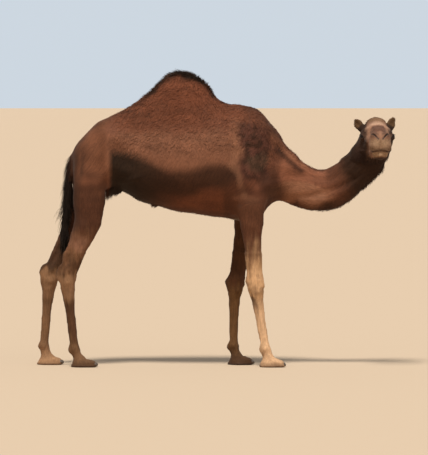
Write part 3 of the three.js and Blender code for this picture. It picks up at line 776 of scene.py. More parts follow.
def survey(clay):
    """What is known of each point of the skin: its shares of the regions and its places in them."""
    points = clay.points
    body = SimpleNamespace(points=points, normals=clay.normals)
    owner = nearest_nodes(points)[:, None]
    for region, starts in REGIONS.items():
        inside = np.char.startswith(owner, np.atleast_1d(starts)).any(1).astype(float)
        setattr(body, region, smoothed(inside, clay.links, EDGE_ROUNDS.get(region, 10), 0.6))
    low, top = box_array("trunk")
    body.along, _, body.high = ((points - low) / (top - low)).T
    body.level = points[:, 2]
    body.low_legs = body.legs * fall(0.5, 0.9, body.level)
    body.near = np.where(points[:, 1] < MIDDLE_Y, 1.0, 0.0)
    body.far = 1 - body.near
    body.face = to_head(points) / MM
    body.beside = np.stack([body.face[:, 0], np.abs(body.face[:, 1]), body.face[:, 2]], 1)
    line = rounded(NECK_LINE)
    _, body.neck_along = distance_to_path(points, line)
    body.neck_offset = points - along_path(body.neck_along, line, line)
    body.nape = body.neck_offset[:, 2] / np.maximum(size_of(body.neck_offset), 1e-6)
    back = points[(body.trunk > 0.3) & (np.abs(points[:, 1] - MIDDLE_Y) < 0.06)]
    slots = np.round(back[:, 0] / STATION).astype(int)
    stations = np.unique(slots)
    tops = [back[slots == k, 2].max() for k in stations]
    body.below_top = np.interp(points[:, 0], stations * STATION, tops) - body.level
    return body


def along_path(shares, path, values):
    """The values that belong to a path's points, read off between them at shares of its length."""
    passed = np.concatenate([[0], np.cumsum(size_of(np.diff(path, axis=0)))])
    return np.stack([np.interp(shares, passed / passed[-1], column) for column in values.T], 1)


def spot(body, x, z, size):
    """A soft round patch on both flanks or legs, seen from the side."""
    gap = np.hypot(body.points[:, 0] - x, body.points[:, 2] - z)
    return fall(0.45 * size, 1.15 * size, gap + 0.22 * size * ripples(body.points, size, 5))


def side_line(body, path, width):
    """A soft line on both sides of the body along places (x, z), seen from the side."""
    places = np.array([(x, 0, z) for x, z in path])
    gap, _ = distance_to_path(body.points * [1, 0, 1], rounded(places))
    return bell(gap + 0.25 * width * ripples(body.points, 0.05, 6), width)


def face_spot(body, ahead, out, up, size):
    """A soft round patch on both sides of the head, in millimetres from between the eyes."""
    return fall(0.4 * size, 1.2 * size, size_of(body.beside - [ahead, out, up])) * (body.head + body.ears)


# --- how deep the coat is
# Millimetres in each region, each laid over those before it.
COAT_DEPTH = {
    "legs": 4, "trunk": 10, "hump": 15, "neck": 9, "low_legs": 2.5, "tail": 3, "tassel": 18,
    "head": 2.5, "ears": 2.5, "feet": 1.5, "pad": 0.5,
}
LID_COAT = 0.4


def coat_depth(body):
    depth = np.full(len(body.points), float(COAT_DEPTH["legs"]))
    for region, wool_gap_shade in list(COAT_DEPTH.items())[1:]:
        depth = mix(depth, wool_gap_shade, within(getattr(body, region)))
    for side in BOTH:
        depth = mix(depth, LID_COAT, fall(34 * MM, 60 * MM, size_of(body.points - EYE[side])))
    return depth * MM


# --- markings
def tone(red, green, blue):
    """A colour given as it looks on a screen, from 0 to 255, turned into light."""
    share = np.array([red, green, blue]) / 255
    return np.where(share < 0.04045, share / 12.92, ((share + 0.055) / 1.055) ** 2.4)


CHESTNUT = tone(111, 67, 47)
FAWN = tone(142, 97, 71)
RUST = tone(112, 62, 40)
BARK = tone(72, 42, 27)
UMBER = tone(52, 31, 19)
BELLY = tone(105, 59, 38)
SOOT = tone(36, 25, 15)
THIGH = tone(102, 62, 41)
NECK_RED = tone(122, 75, 53)
SHANK = tone(90, 62, 38)
HOCK = tone(138, 101, 72)
SAND = tone(192, 150, 110)
FACE = tone(134, 96, 74)
NOSE = tone(84, 54, 39)
BROW = tone(168, 132, 108)
CHEEK = tone(41, 23, 14)
LIP = tone(152, 121, 93)
EAR = tone(94, 67, 42)
CALLUS = tone(128, 102, 82)
INSIDE = tone(22, 14, 11)


def markings(body):
    """The coat's colour at each point of the skin."""
    colour = np.tile(CHESTNUT, (len(body.points), 1))
    wide = ripples(body.points, 0.20, 1)
    fine = ripples(body.points, 0.055, 2)

    def lay(toned, mask):
        share = within(mask)[:, None]
        colour[:] = colour * (1 - share) + toned * share

    ragged = body.high + 0.035 * wide + 0.018 * fine
    flecks = ripples(body.points * [0.4, 1, 1.5], 0.040, 31)
    lay(RUST, rise(0.72, 1.02, ragged) * body.trunk * 0.7)
    lay(FAWN, 0.34 * body.trunk * band(0.44, 0.68, 0.12, ragged) * band(0.18, 0.76, 0.05, body.along))
    lay(UMBER, 0.55 * spot(body, -0.55, 1.79, 0.12) * body.trunk * rise(-0.6, 0.5, flecks))
    lay(UMBER, 0.30 * spot(body, -0.36, 1.83, 0.13) * body.trunk * rise(-0.4, 0.6, flecks))
    lay(THIGH, body.trunk * fall(0.15, 0.20, body.along + 0.01 * wide))
    # Painted shade on the lower flank, below a line that follows the edge of the light on the barrel,
    # darkest towards the thigh.
    shade_line = mix(0.58, 0.40, rise(0.22, 0.50, body.along)) + 0.015
    shade_line = shade_line + 0.06 * rise(0.54, 0.66, body.along) + 0.015 * wide + 0.012 * fine
    flank_shade = fall(shade_line - 0.07, shade_line + 0.05, body.high)
    flank_shade = flank_shade * body.trunk * rise(0.184, 0.196, body.along)
    dark = mix(SOOT[:, None], tone(58, 33, 19)[:, None], rise(0.24, 0.56, body.along)).T
    lay(dark, 0.95 * flank_shade * fall(0.73, 0.82, body.along + 0.012 * wide))
    belly_top = mix(0.20, 0.29, rise(0.46, 0.66, body.along))
    belly = body.trunk * fall(belly_top - 0.09, belly_top + 0.03, ragged)
    lay(BELLY, 0.92 * belly * rise(0.36, 0.50, body.along))
    lay(BARK, 0.7 * belly * rise(0.69, 0.72, body.along))
    # Painted shade on the downward-facing underside of the belly.
    lay(BARK, 0.65 * body.trunk * rise(0.72, 0.94, -body.normals[:, 2]) * rise(0.30, 0.45, body.along))
    paint_shoulder(body, lay, fine)
    # Painted shade on the rear of the trunk, beside the tail.
    lay(BARK, 0.7 * body.trunk * fall(0.0, 0.07, body.along))
    over_hump = band(-0.42, -0.12, 0.14, body.points[:, 0] + 0.03 * fine)
    top_line = fall(0.010, 0.060, body.below_top + 0.014 * fine + 0.012 * wide)
    lay(SOOT, top_line * (0.30 + 0.66 * over_hump) * body.trunk)
    paint_neck(body, lay, fine)
    paint_chest(body, lay, fine)
    lay(mix(SOOT, INSIDE, 0.45), body.tail)
    paint_legs(body, lay, fine)
    paint_head(body, lay, fine)
    lay(CALLUS, 0.85 * body.pad)
    shade = 1 + 0.06 * wide + 0.09 * fine + 0.10 * flecks * woolliness(body)
    return colour * shade[:, None]


# Small dark spots behind the shoulder and pale ones at the elbow: place (x, z) and size.
SHOULDER_SPOTS = ((0.225, 1.55, 0.034), (0.305, 1.455, 0.022), (0.194, 1.628, 0.028), (0.27, 1.60, 0.020))
ELBOW_SPOTS = ((0.262, 1.150, 0.050), (0.322, 1.085, 0.055), (0.20, 1.19, 0.035))
# The chest's lines: colour, strength, places (x, z) and width.
CHEST_LINES = (
    # painted shade in the crease over the root of the neck
    (tone(52, 28, 16), 0.92, [(0.44, 1.53), (0.467, 1.488), (0.52, 1.435), (0.60, 1.37)], 0.020),
    (tone(140, 92, 66), 0.45, [(0.40, 1.62), (0.47, 1.53), (0.55, 1.45), (0.64, 1.40)], 0.018),
    # a painted highlight along the lower neck
    (tone(150, 106, 82), 0.60, [(0.60, 1.182), (0.68, 1.174), (0.75, 1.188)], 0.019),
)
# Brown spots about the near knee: how far they are ahead of it, and their height.
KNEE_SPOTS = ((-0.03, 0.575), (0.012, 0.555), (0.055, 0.545), (0.02, 0.52), (-0.02, 0.64), (0.035, 0.63))


def paint_shoulder(body, lay, fine):
    """A dark curly patch over the shoulder, a pale edge behind it and a shadow before it."""
    here = body.trunk * (1 - body.head)
    curly = rise(-0.4, 0.4, ripples(body.points * [1, 1, 1.3], 0.042, 8))
    side_way = body.along + 0.016 * ripples(body.points, 0.13, 41) + 0.010 * fine
    height = body.high + 0.045 * ripples(body.points, 0.16, 42) + 0.025 * fine
    lay(FAWN, 0.45 * here * band(0.757, 0.778, 0.024, side_way) * band(0.30, 0.70, 0.16, height))
    patch = band(0.800, 0.895, 0.030, side_way) * band(0.36, 0.72, 0.11, height)
    lay(tone(84, 49, 39), 0.75 * here * patch)
    lay(UMBER, 0.85 * here * patch * curly)
    lay(BARK, 0.40 * here * band(0.81, 0.96, 0.05, side_way) * band(0.74, 0.95, 0.08, height))
    lay(tone(74, 58, 42), 0.55 * spot(body, 0.30, 1.43, 0.085) * here)
    for place in SHOULDER_SPOTS:
        lay(UMBER, 0.60 * spot(body, *place) * here)
    for place in ELBOW_SPOTS:
        lay(FAWN, 0.65 * spot(body, *place) * within(body.legs + body.trunk))


def paint_chest(body, lay, fine):
    """The dark front of the chest, painted shade in the crease over the root of the neck and a painted
    highlight low on the neck under it.
    """
    torso = within(body.trunk + body.neck)
    before = body.along + 0.016 * ripples(body.points, 0.13, 41) + 0.06 * (body.high - 0.3)
    front = band(0.900, 0.946, 0.040, before) * band(0.10, 0.36, 0.13, body.high + 0.02 * fine)
    lay(tone(62, 36, 24), 0.80 * torso * front)
    for toned, strength, path, width in CHEST_LINES:
        lay(toned, strength * torso * side_line(body, path, width))


def paint_neck(body, lay, fine):
    """A dark line under the mane, a lighter side, a dark throat, and all dark towards the head, partly
    dark hair and partly painted shade.
    """
    nape = body.nape + 0.06 * fine
    neck = within(body.neck + body.head + body.ears)
    lay(NECK_RED, neck)
    lay(FAWN, 0.60 * neck * band(-0.74, 0.05, 0.22, nape) * band(0.12, 0.50, 0.12, body.neck_along))
    lay(tone(66, 36, 20), 0.40 * neck * bell(nape - 0.55, 0.27) * rise(0.30, 0.50, body.neck_along))
    beside = np.abs(body.neck_offset[:, 1])
    lay(SOOT, 0.55 * neck * rise(0.84, 0.97, nape) * fall(0.015, 0.04, beside))
    # Darker under the neck: partly dark hair, partly painted shade on the throat.
    lay(UMBER, 0.85 * neck * fall(-0.97, mix(-0.80, -0.55, rise(0.3, 0.7, body.neck_along)), nape))
    # All dark towards the head: partly dark hair, partly painted shade cast by the head.
    toward_head = body.neck_along + 0.02 * fine
    lay(BARK, 0.6 * neck * rise(0.52, 0.64, toward_head))
    lay(mix(UMBER, SOOT, 0.5), 0.92 * neck * rise(0.62, 0.78, toward_head - 0.06 * nape))


def paint_legs(body, lay, fine):
    """Streaked bands of colour down each leg, and dark fronts and backs of the joints."""
    level, hind, fore = body.level, body.hind, body.fore
    near_hind, far_hind = hind * body.near, hind * body.far
    near_fore, far_fore = fore * body.near, fore * body.far
    streaks = ripples(body.points * [1, 1, 0.16], 0.022, 21)
    haunch = within(hind + body.trunk * fall(0.16, 0.19, body.along))
    lay(THIGH, hind)
    lay(mix(THIGH, BARK, 0.5), fore)
    thigh_level = level + 0.03 * fine + 0.05 * ripples(body.points, 0.15, 43)
    lay(BARK, 0.80 * haunch * band(1.00, 1.19, 0.17, thigh_level))
    # Painted shade on the backward-facing rear of the thighs, beside the tail.
    thigh_back_shade = rise(0.15, 0.80, -body.normals[:, 0]) * rise(0.85, 1.0, level)
    lay(tone(62, 38, 25), 0.75 * haunch * thigh_back_shade * fall(1.45, 1.60, level))
    lay(SHANK, hind * fall(0.72, 0.98, level + 0.05 * streaks))
    lay(tone(118, 80, 56), 0.35 * hind * band(0.82, 0.88, 0.11, level + 0.06 * streaks))
    lay(tone(140, 98, 76), 0.60 * hind * spot(body, -0.955, 0.86, 0.075))
    hock, fetlock = leg_levels("hindleg_right")
    lay(BARK, 0.45 * near_hind * band(hock + 0.02, hock + 0.10, 0.06, level + 0.03 * streaks))
    lay(HOCK, 0.75 * hind * band(hock - 0.10, hock - 0.01, 0.07, level + 0.03 * streaks))
    lay(HOCK, 0.45 * far_hind * fall(hock - 0.15, hock + 0.12, level))
    lay(BARK, 0.50 * near_hind * band(0.24, 0.42, 0.08, level + 0.05 * streaks))
    lay(HOCK, (0.35 + 0.35 * body.far) * hind * fall(fetlock - 0.02, fetlock + 0.06, level))
    lay(mix(UMBER, SHANK, 0.3), 0.6 * near_hind * fall(0.02, 0.07, level))
    lay(mix(HOCK, SAND, 0.4), 0.6 * far_hind * fall(0.03, 0.12, level))
    lay(UMBER, 0.70 * far_hind * band(0.69, 0.84, 0.06, level + 0.03 * streaks))
    lay(tone(78, 47, 26), far_fore)
    lay(tone(99, 68, 39), 0.95 * far_fore * fall(0.46, 0.60, level + 0.04 * streaks))
    lay(UMBER, 0.68 * far_fore * fall(0.03, 0.16, level))
    jagged = ripples(body.points * [1, 1, 0.35], 0.030, 22)
    pale = fall(0.62, 0.94, level + 0.05 * streaks + 0.06 * jagged)
    lay(SAND, near_fore * pale)
    lay(SHANK, 0.50 * near_fore * rise(0.0, 0.7, streaks) * pale * rise(0.5, 0.7, level))
    behind = near_fore * rise(-0.1, 0.5, -body.normals[:, 0])
    lay(UMBER, 0.80 * behind * band(0.405, 0.49, 0.03, level + 0.02 * streaks))
    lay(BARK, 0.55 * behind * band(0.22, 0.42, 0.05, level))
    lay(UMBER, 0.80 * behind * band(0.095, 0.15, 0.025, level))
    knee = meeting("foreleg_right_upper", "foreleg_right_lower")[0]
    for ahead, height in KNEE_SPOTS:
        lay(BARK, 0.30 * spot(body, knee + ahead, height, 0.020) * near_fore)
    lay(tone(208, 168, 130), 0.75 * near_fore * fall(0.33, 0.50, level))
    lay(SHANK, 0.22 * near_fore * rise(0.2, 0.8, jagged) * fall(0.45, 0.60, level))
    lay(HOCK, 0.30 * near_fore * fall(0.07, 0.15, level + 0.02 * jagged))
    lay(BARK, 0.45 * near_fore * fall(0.0, 0.035, level + 0.012 * fine))


def paint_head(body, lay, fine):
    """A dark head with a brown face, a pale brow, crown and muzzle, and slits darkened with painted shade.
    """
    head = within(body.head + body.ears)
    ahead, out, up = body.beside.T
    patchy = ripples(body.points, 0.035, 51)
    side = rise(60, 88, out + 3 * patchy) * fall(62, 186, ahead + 12 * patchy - 0.25 * up)
    under = fall(-150, -88, up + 0.35 * ahead) * fall(60, 190, ahead)
    back = fall(-110, -50, ahead)
    dark = 1 - (1 - 0.92 * side) * (1 - 0.92 * under) * (1 - 0.92 * back)
    lay(mix(FACE[:, None], CHEEK[:, None], dark).T, head)
    nose = band(46, 226, 26, ahead - 0.010 * out**2) * rise(-26, 20, up + 3 * fine)
    lay(NOSE, 0.92 * head * nose * fall(34, 70, out))
    lay(mix(FACE, BROW, 0.4), 0.8 * face_spot(body, 2, 34, 84, 70) * fall(60, 92, out))
    lay(BROW, 0.95 * face_spot(body, -2, 10, 90, 46 + 5 * patchy))
    lay(BROW, 0.45 * face_spot(body, 22, 80, 56, 26))
    # The face's left side is lightened more than its right: painted light.
    painted_light_left = rise(-5, 5, body.face[:, 1])
    lay(mix(FACE, BROW, 0.5), (0.45 + 0.40 * painted_light_left) * face_spot(body, 60, 66, 10, 46))
    lay(mix(EAR, BROW, 0.16), 0.88 * head * rise(94, 124, up + 5 * patchy) * fall(64, 88, out))
    lay(mix(FACE, CHEEK, 0.70), 0.9 * face_spot(body, 262, 36, -6, 40))
    lay(mix(LIP, NOSE, 0.3), 0.8 * head * rise(200, 256, ahead) * band(-100, -42, 20, up))
    lay(LIP, 0.75 * face_spot(body, 290, 22, -62, 34))
    # A painted highlight on the upper lip, below the nostrils.
    lay(BROW, 0.45 * face_spot(body, 292, 12, -46, 17))
    lay(mix(LIP, CHEEK, 0.55), 0.55 * head * rise(205, 255, ahead) * band(-124, -102, 8, up))
    lay(LIP, 0.85 * head * rise(205, 245, ahead) * band(-150, -128, 9, up))
    lay(CHEEK, 0.90 * head * fall(-166, -150, up))
    lay(mix(UMBER, SOOT, 0.5), 0.92 * head * back * (1 - 0.5 * rise(80, 130, up)))
    lay(NOSE, 0.20 * head * rise(42, 60, out) * rise(190, 230, ahead) * rise(-110, -90, up))
    lay(EAR, body.ears)
    lay(SOOT, 0.32 * body.ears * rise(0.2, 0.9, body.normals @ HEAD_AHEAD))
    # The nostril and mouth slits are darkened: painted shade in their depths.
    for hand in BOTH:
        for path, width, share in ((NOSTRIL, 5.5, 0.85), (MOUTH, 2.6, 0.60)):
            lay(INSIDE, share * near_slit(body, path, hand, width))


def near_slit(body, path, side, width):
    """1 on a slit of the face as it is drawn on the skin, falling off over a width in millimetres."""
    nearest = [size_of(body.points - place).argmin() for place in face_places(path, side)]
    gap, _ = distance_to_path(body.points, rounded(body.points[nearest]))
    return bell(gap, width * MM)


def bareness(body):
    """Where the skin shows without hair: nose and lips, lid edges, pads and soles."""
    bare = [body.pad, body.feet * fall(0.006, 0.022, body.level)]
    bare.append(0.7 * spot(body, 0.168, 1.132, 0.024) * within(body.legs + body.trunk))
    for side in BOTH:
        bare += [near_slit(body, NOSTRIL, side, 7), near_slit(body, MOUTH, side, 6)]
        radius, _, gap, _ = eye_places(body.points, side)
        bare.append((radius < 45 * MM) * fall(2 * MM, 6 * MM, gap))
    return within(np.max(bare, axis=0))


# --- lie of the coat
def lie_of_coat(body):
    """Which way the hair lies at each point, in the surface."""
    line = rounded(NECK_LINE)
    down_neck = -along_path(body.neck_along, line, unit(np.gradient(line, axis=0)))
    way = np.tile([-0.50, 0.0, -0.86], (len(body.points), 1))
    regions = [
        (unit(down_neck + [0, 0, -0.55]), body.neck),
        (np.array([-0.12, 0, -1.0]), body.legs),
        (-UP, body.tail),
        (-HEAD_AHEAD - 0.25 * HEAD_UP, body.head),
    ]
    for name, side in SIDES.items():
        ear_way = unit(centre(f"ear_{name}") - from_head(-70, side * 70, 70))
        regions.append((ear_way, body.ears * (body.face[:, 1] * side > 0)))
    for there, share in regions:
        way = mix(way, there, share[:, None])
    sway = np.stack([ripples(body.points, 0.10, 11 + i) for i in range(3)], 1)
    way = unit(way) + 0.35 * sway * woolliness(body)[:, None] + 0.07 * sway
    return across(way, body.normals)


def woolliness(body):
    upper = rise(0.44, 0.66, body.high) * rise(0.13, 0.22, body.along)
    shoulder = spot(body, 0.33, 1.53, 0.20)
    return within(np.maximum(body.hump, body.trunk * np.maximum(upper, shoulder)))


def hair_space(body):
    """Places drawn out along the hair, so that a fine grain in them turns into strands."""
    squeeze = 0.11
    x, y, z = body.points.T
    along, over = body.points @ [-0.50, 0, -0.86], body.points @ [-0.86, 0, 0.50]
    out = np.stack([along * squeeze, over, y], 1)
    legs = np.stack([-z * squeeze, -x, y], 1)
    head = to_head(body.points) * [squeeze, 1, 1]
    neck = np.stack([body.neck_along * 1.1 * squeeze, body.neck_offset[:, 2], body.neck_offset[:, 1]], 1)
    limbs = np.maximum(body.legs, body.tail)
    for region, share in ((neck, body.neck), (legs, limbs), (head, body.head + body.ears)):
        out = mix(out, region, within(share)[:, None])
    return out


def belly_patch(body, back, front):
    """A place in the middle of the belly's underside, between two places along the body."""
    under = rise(0.2, 0.6, -body.normals[:, 2])
    middle = fall(0.05, 0.09, np.abs(body.points[:, 1] - MIDDLE_Y))
    return body.trunk * under * middle * band(back, front, 0.02, body.points[:, 0])


def sheath_patch(body):
    """The place of the long tuft that hangs from the belly just before the thighs."""
    return belly_patch(body, -0.74, -0.67)


def coat_fields(body):
    """Length, width, curl, lift, droop and closeness of the tufts at each point, in metres."""
    wool = woolliness(body)
    low, high = [17.0, 2.8, 0.15, 0.16, 0.05, 0.75], [36, 3.9, 0.62, 0.24, 0.05, 1.0]
    names = ("length", "width", "curl", "lift", "droop", "close")
    tufts = SimpleNamespace(**{name: mix(a, z, wool) for name, a, z in zip(names, low, high)})

    def set_to(mask, *values):
        for name, value in zip(names, values):
            setattr(tufts, name, mix(getattr(tufts, name), value, within(mask)))

    x, ahead, up = body.points[:, 0], body.face[:, 0], body.face[:, 2]
    haunch = body.trunk * fall(0.16, 0.24, body.along) + body.hind * rise(0.6, 0.9, body.level)
    set_to(haunch, 15, 2.5, 0.15, 0.14, 0.05, 0.8)
    belly = body.trunk * fall(-0.8, -0.3, body.normals[:, 2]) * rise(0.2, 0.3, body.along)
    set_to(belly, 21, 3.0, 0.35, 0.25, 0.3, 0.8)
    set_to(body.neck, 20, 2.9, 0.30, 0.14, 0.10, 0.9)
    crest = fall(0.015, 0.04, body.below_top) * body.trunk
    set_to(crest * band(-0.48, -0.06, 0.05, x), 39, 4.2, 0.7, 0.60, 0.15, 1.8)
    set_to(crest * rise(0.0, 0.2, x), 26, 3.8, 0.6, 0.28, 0.15, 1.3)
    mane = rise(0.72, 0.92, body.nape) * fall(0.025, 0.06, np.abs(body.neck_offset[:, 1]))
    set_to(body.neck * mane, 30, 3.2, 0.35, 0.38, 0.25, 2.0)
    throat = body.neck * fall(-0.92, -0.55, body.nape)
    set_to(throat * rise(0.35, 0.55, body.neck_along), 27, 3.2, 0.35, 0.28, 0.6, 1.8)
    set_to(throat * rise(0.72, 0.88, body.neck_along), 54, 3.6, 0.35, 0.50, 1.1, 2.2)
    sheath = sheath_patch(body)
    set_to(sheath, 56, 3.6, 0.25, 0.8, 2.2, 9.0)
    set_to(sheath * fall(-0.725, -0.69, x), 96, 3.6, 0.25, 0.7, 2.6, 9.0)
    set_to(belly_patch(body, -0.43, -0.41), 32, 3.2, 0.3, 0.7, 1.2, 3.0)
    set_to(body.fore * rise(0.75, 1.0, body.level), 15, 2.5, 0.15, 0.15, 0.05, 0.9)
    set_to(body.legs * fall(0.45, 0.75, body.level), 11, 1.9, 0.12, 0.17, 0.05, 1.0)
    set_to(body.feet, 7.5, 1.6, 0.12, 0.18, 0.05, 0.9)
    set_to(body.head, 8.5, 1.5, 0.15, 0.10, 0.02, 1.0)
    set_to(body.head * rise(200, 250, ahead), 5.5, 1.1, 0.12, 0.16, 0.02, 0.8)
    set_to(body.head * rise(70, 130, up), 17, 2.6, 0.5, 0.34, 0.05, 1.9)
    jowl = body.head * fall(-150, -108, up) * fall(60, 170, ahead)
    set_to(jowl, 28, 2.8, 0.35, 0.30, 0.8, 1.8)
    set_to(body.ears, 13, 1.8, 0.30, 0.20, 0.0, 1.8)
    set_to(body.tail, 74, 3.0, 0.2, 0.46, 0.5, 2.4)
    wisp = body.tail * rise(0.2, 0.6, -body.normals[:, 0]) * band(1.07, 1.12, 0.02, body.level)
    set_to(wisp, 125, 3.0, 0.25, 0.85, 1.3, 1.6)
    set_to(body.tassel, 150, 3.4, 0.16, 0.08, 0.5, 1.9)
    tufts.close = tufts.close * (1 - 0.93 * bareness(body))
    tufts.length, tufts.width = tufts.length * MM, tufts.width * MM
    return tufts


# --- tufts
def choose_roots(skin, fields, inside, count):
    """Roots spread over the chosen faces by closeness, with every field read off at each root."""
    mesh = skin.data
    mesh.calc_loop_triangles()
    corners, loops = [read(mesh.loop_triangles, kind, 3, np.int64) for kind in ("vertices", "loops")]
    area = read(mesh.loop_triangles, "area", 1)[:, 0]
    places = read(mesh.uv_layers["OFBake"].data, "uv", 2)
    weight = area * fields["close"][corners].mean(1)[:, 0] * inside[corners].mean(1)
    running = np.cumsum(weight)
    picks = (np.arange(count) + random.uniform(0, 1, count)) / count * running[-1]
    chosen = np.minimum(np.searchsorted(running, picks), len(area) - 1)
    one, two = random.uniform(0, 1, (2, count))
    folded = one + two > 1
    one, two = np.where(folded, 1 - one, one), np.where(folded, 1 - two, two)
    shares = np.stack([one, two, 1 - one - two], 1)[:, :, None]
    roots = {name: (values[corners[chosen]] * shares).sum(1) for name, values in fields.items()}
    roots["map"] = (places[loops[chosen]] * shares).sum(1)
    return roots


PATCH = 0.003  # a lock's side on the map
SUNK = 0.07  # share of its length that starts below the skin
TURN = 5.2  # how far a curl winds, in radians
RIDGE = 0.45  # height of a lock's back over half its width
NECKED = 0.72  # width at the very root
ROUNDING = 0.45  # lean of the side edges' shading
TAPER = 0.75  # share of its width that a lock loses towards its tip
LENGTHS = (0.65, 1.25)
HALF_WIDTHS = (0.35, 0.62)
LIFTS = (0.6, 1.4)
CLUMP_TONES = (0.88, 1.13)
LOCK_TONES = (0.95, 1.05)
GROUND_GAP = 0.4 * MM


def clumps_of(points, size):
    """The middle root of each clump of about size roots, and which clump each root belongs to."""
    middles = np.arange(0, len(points), size)
    tree = KDTree(len(middles))
    for index, middle in enumerate(middles):
        tree.insert(Vector(points[middle]), index)
    tree.balance()
    return middles, np.array([tree.find(Vector(point))[1] for point in points])


def grow_tufts(name, roots, rings, slot, material, clump, gather, twist=TURN):
    """One joined mesh of closed three-sided locks that taper from their roots to their tips.

    Locks of one clump curl alike and lean together by the share gather.
    """
    count = len(roots["point"])
    middles, clump_of = clumps_of(roots["point"], clump)
    clumps, each = (len(middles), 1), (count, 1)
    together = (roots["point"][middles][clump_of] - roots["point"]) * gather
    normal, lie = unit(roots["normal"]), unit(roots["lie"])
    side = np.cross(normal, lie)
    swerve = random.normal(0, 0.14, clumps)[clump_of] + random.normal(0, 0.07, each)
    lie = unit(lie + swerve * side)
    side = np.cross(normal, lie)
    lift = roots["lift"] * random.uniform(*LIFTS, each)
    way = unit(lie * np.cos(lift) + normal * np.sin(lift))
    length = roots["length"] * random.uniform(*LENGTHS, each)
    half = roots["width"] * random.uniform(*HALF_WIDTHS, each)
    phase = random.uniform(0, 2 * math.pi, clumps)[clump_of] + random.normal(0, 0.35, each)
    spin = random.choice([-1.0, 1.0], clumps)[clump_of]
    place = roots["point"] - normal * length * SUNK
    rows = []
    for ring in range(rings):
        share = ring / rings
        slim = half * (1 - TAPER * share**1.6) * (1 if ring else NECKED)
        core = place + together * share**1.3
        rows += [core + side * slim, core - side * slim, core + normal * slim * RIDGE]
        wave = phase + spin * twist * share
        bend = roots["curl"] * (np.cos(wave) * side + 0.35 * np.sin(wave) * normal)
        step = unit(way + bend - UP * roots["droop"] * share * 1.4)
        place = place + step * length / rings
    rows.append(place + together)
    points = np.stack(rows, 1).reshape(-1, 3)
    points[:, 2] = np.maximum(points[:, 2], GROUND_GAP)
    tip = 3 * rings
    faces = [(0, 1, 2)]
    for a in range(0, tip, 3):
        b = a + 3
        for i, j in ((0, 2), (2, 1), (1, 0)):
            wall = [(a + i, a + j, b + j), (a + i, b + j, b + i)]
            faces += wall if b < tip else [(a + i, a + j, tip)]
    per_tuft = tip + 1
    table = (np.arange(count)[:, None, None] * per_tuft + np.array(faces)).reshape(-1, 3)
    mesh = mesh_from(name, points, table)
    shares = np.append(np.repeat(np.arange(rings) / rings, 3), 1.0)
    corner = np.append(np.tile([0.0, 1.0, 0.5], rings), 0.5)
    patch = np.stack([corner, shares], 1) - 0.5
    spots = within(roots["map"][:, None] + patch[None] * PATCH).reshape(-1, 2)
    layer = mesh.uv_layers.new(name="OFBake")
    layer.data.foreach_set("uv", spots[table.ravel()].ravel().astype(np.float32))
    lean = np.append(np.tile([ROUNDING, -ROUNDING, 0.0], rings), 0.0)[None, :, None]
    facing = unit(normal[:, None] + lean * side[:, None]).reshape(-1, 3)
    mesh.normals_split_custom_set_from_vertices(facing.astype(np.float32))
    bleach = random.uniform(*CLUMP_TONES, clumps)[clump_of] * random.uniform(*LOCK_TONES, each)
    add_layer(mesh, "Coat", np.repeat(roots["colour"] * bleach, per_tuft, axis=0), "colour")
    add_layer(mesh, "Tip", np.tile(shares, count))
    add_layer(mesh, "Strand", np.repeat(random.uniform(0, 1, count), per_tuft))
    obj = in_scene(name, mesh)
    mesh.materials.append(material)
    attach(obj, "root")


def mesh_from(name, points, triangles):
    mesh = bpy.data.meshes.new(name)
    mesh.vertices.add(len(points))
    mesh.loops.add(triangles.size)
    mesh.polygons.add(len(triangles))
    mesh.vertices.foreach_set("co", points.ravel())
    mesh.loops.foreach_set("vertex_index", triangles.ravel().astype(np.int32))
    mesh.polygons.foreach_set("loop_start", (np.arange(len(triangles)) * 3).astype(np.int32))
    mesh.polygons.foreach_set("use_smooth", np.ones(len(triangles), bool))
    mesh.update(calc_edges=True)
    return mesh


def add_layer(mesh, name, values, kind="number"):
    """A named number, vector or colour at each vertex."""
    if kind == "colour":
        values = np.append(within(values), np.ones((len(values), 1)), axis=1)
        layer, field = mesh.color_attributes.new(name, "FLOAT_COLOR", "POINT"), "color"
    elif kind == "vector":
        layer, field = mesh.attributes.new(name, "FLOAT_VECTOR", "POINT"), "vector"
    else:
        layer, field = mesh.attributes.new(name, "FLOAT", "POINT"), "value"
    layer.data.foreach_set(field, values.astype(np.float32).ravel())


def unwrap(obj):
    """The skin's own flat map, which the tufts' patches are placed on."""
    bpy.context.view_layer.objects.active = obj
    obj.select_set(True)
    bpy.ops.object.mode_set(mode="EDIT")
    bpy.ops.mesh.select_all(action="SELECT")
    bpy.ops.uv.smart_project(angle_limit=1.15, island_margin=0.002)
    bpy.ops.object.mode_set(mode="OBJECT")
    obj.data.uv_layers.active.name = "OFBake"


# --- finishes
FLOAT, COLOUR, VECTOR = "NodeSocketFloat", "NodeSocketColor", "NodeSocketVector"
MATT_HAIR = {"Specular IOR Level": 0.14, "Sheen Weight": 0.03}


def feed(node, inputs):
    """Links each source to the node's socket, or sets the socket to the value."""
    for socket, source in inputs.items():
        if isinstance(source, bpy.types.NodeSocket):
            node.id_data.links.new(source, node.inputs[socket])
        else:
            node.inputs[socket].default_value = source


def put(tree, kind, inputs, out=0, **settings):
    """One output of a new node with its settings and its inputs."""
    node = tree.nodes.new("ShaderNode" + kind)
    for key, value in settings.items():
        setattr(node, key, value)
    feed(node, inputs)
    return node.outputs[out]


def new_material(name, finish=None):
    material = bpy.data.materials.new(name)
    material.use_nodes = True
    shader = material.node_tree.nodes["Principled BSDF"]
    feed(shader, finish or {})
    return material, material.node_tree, shader


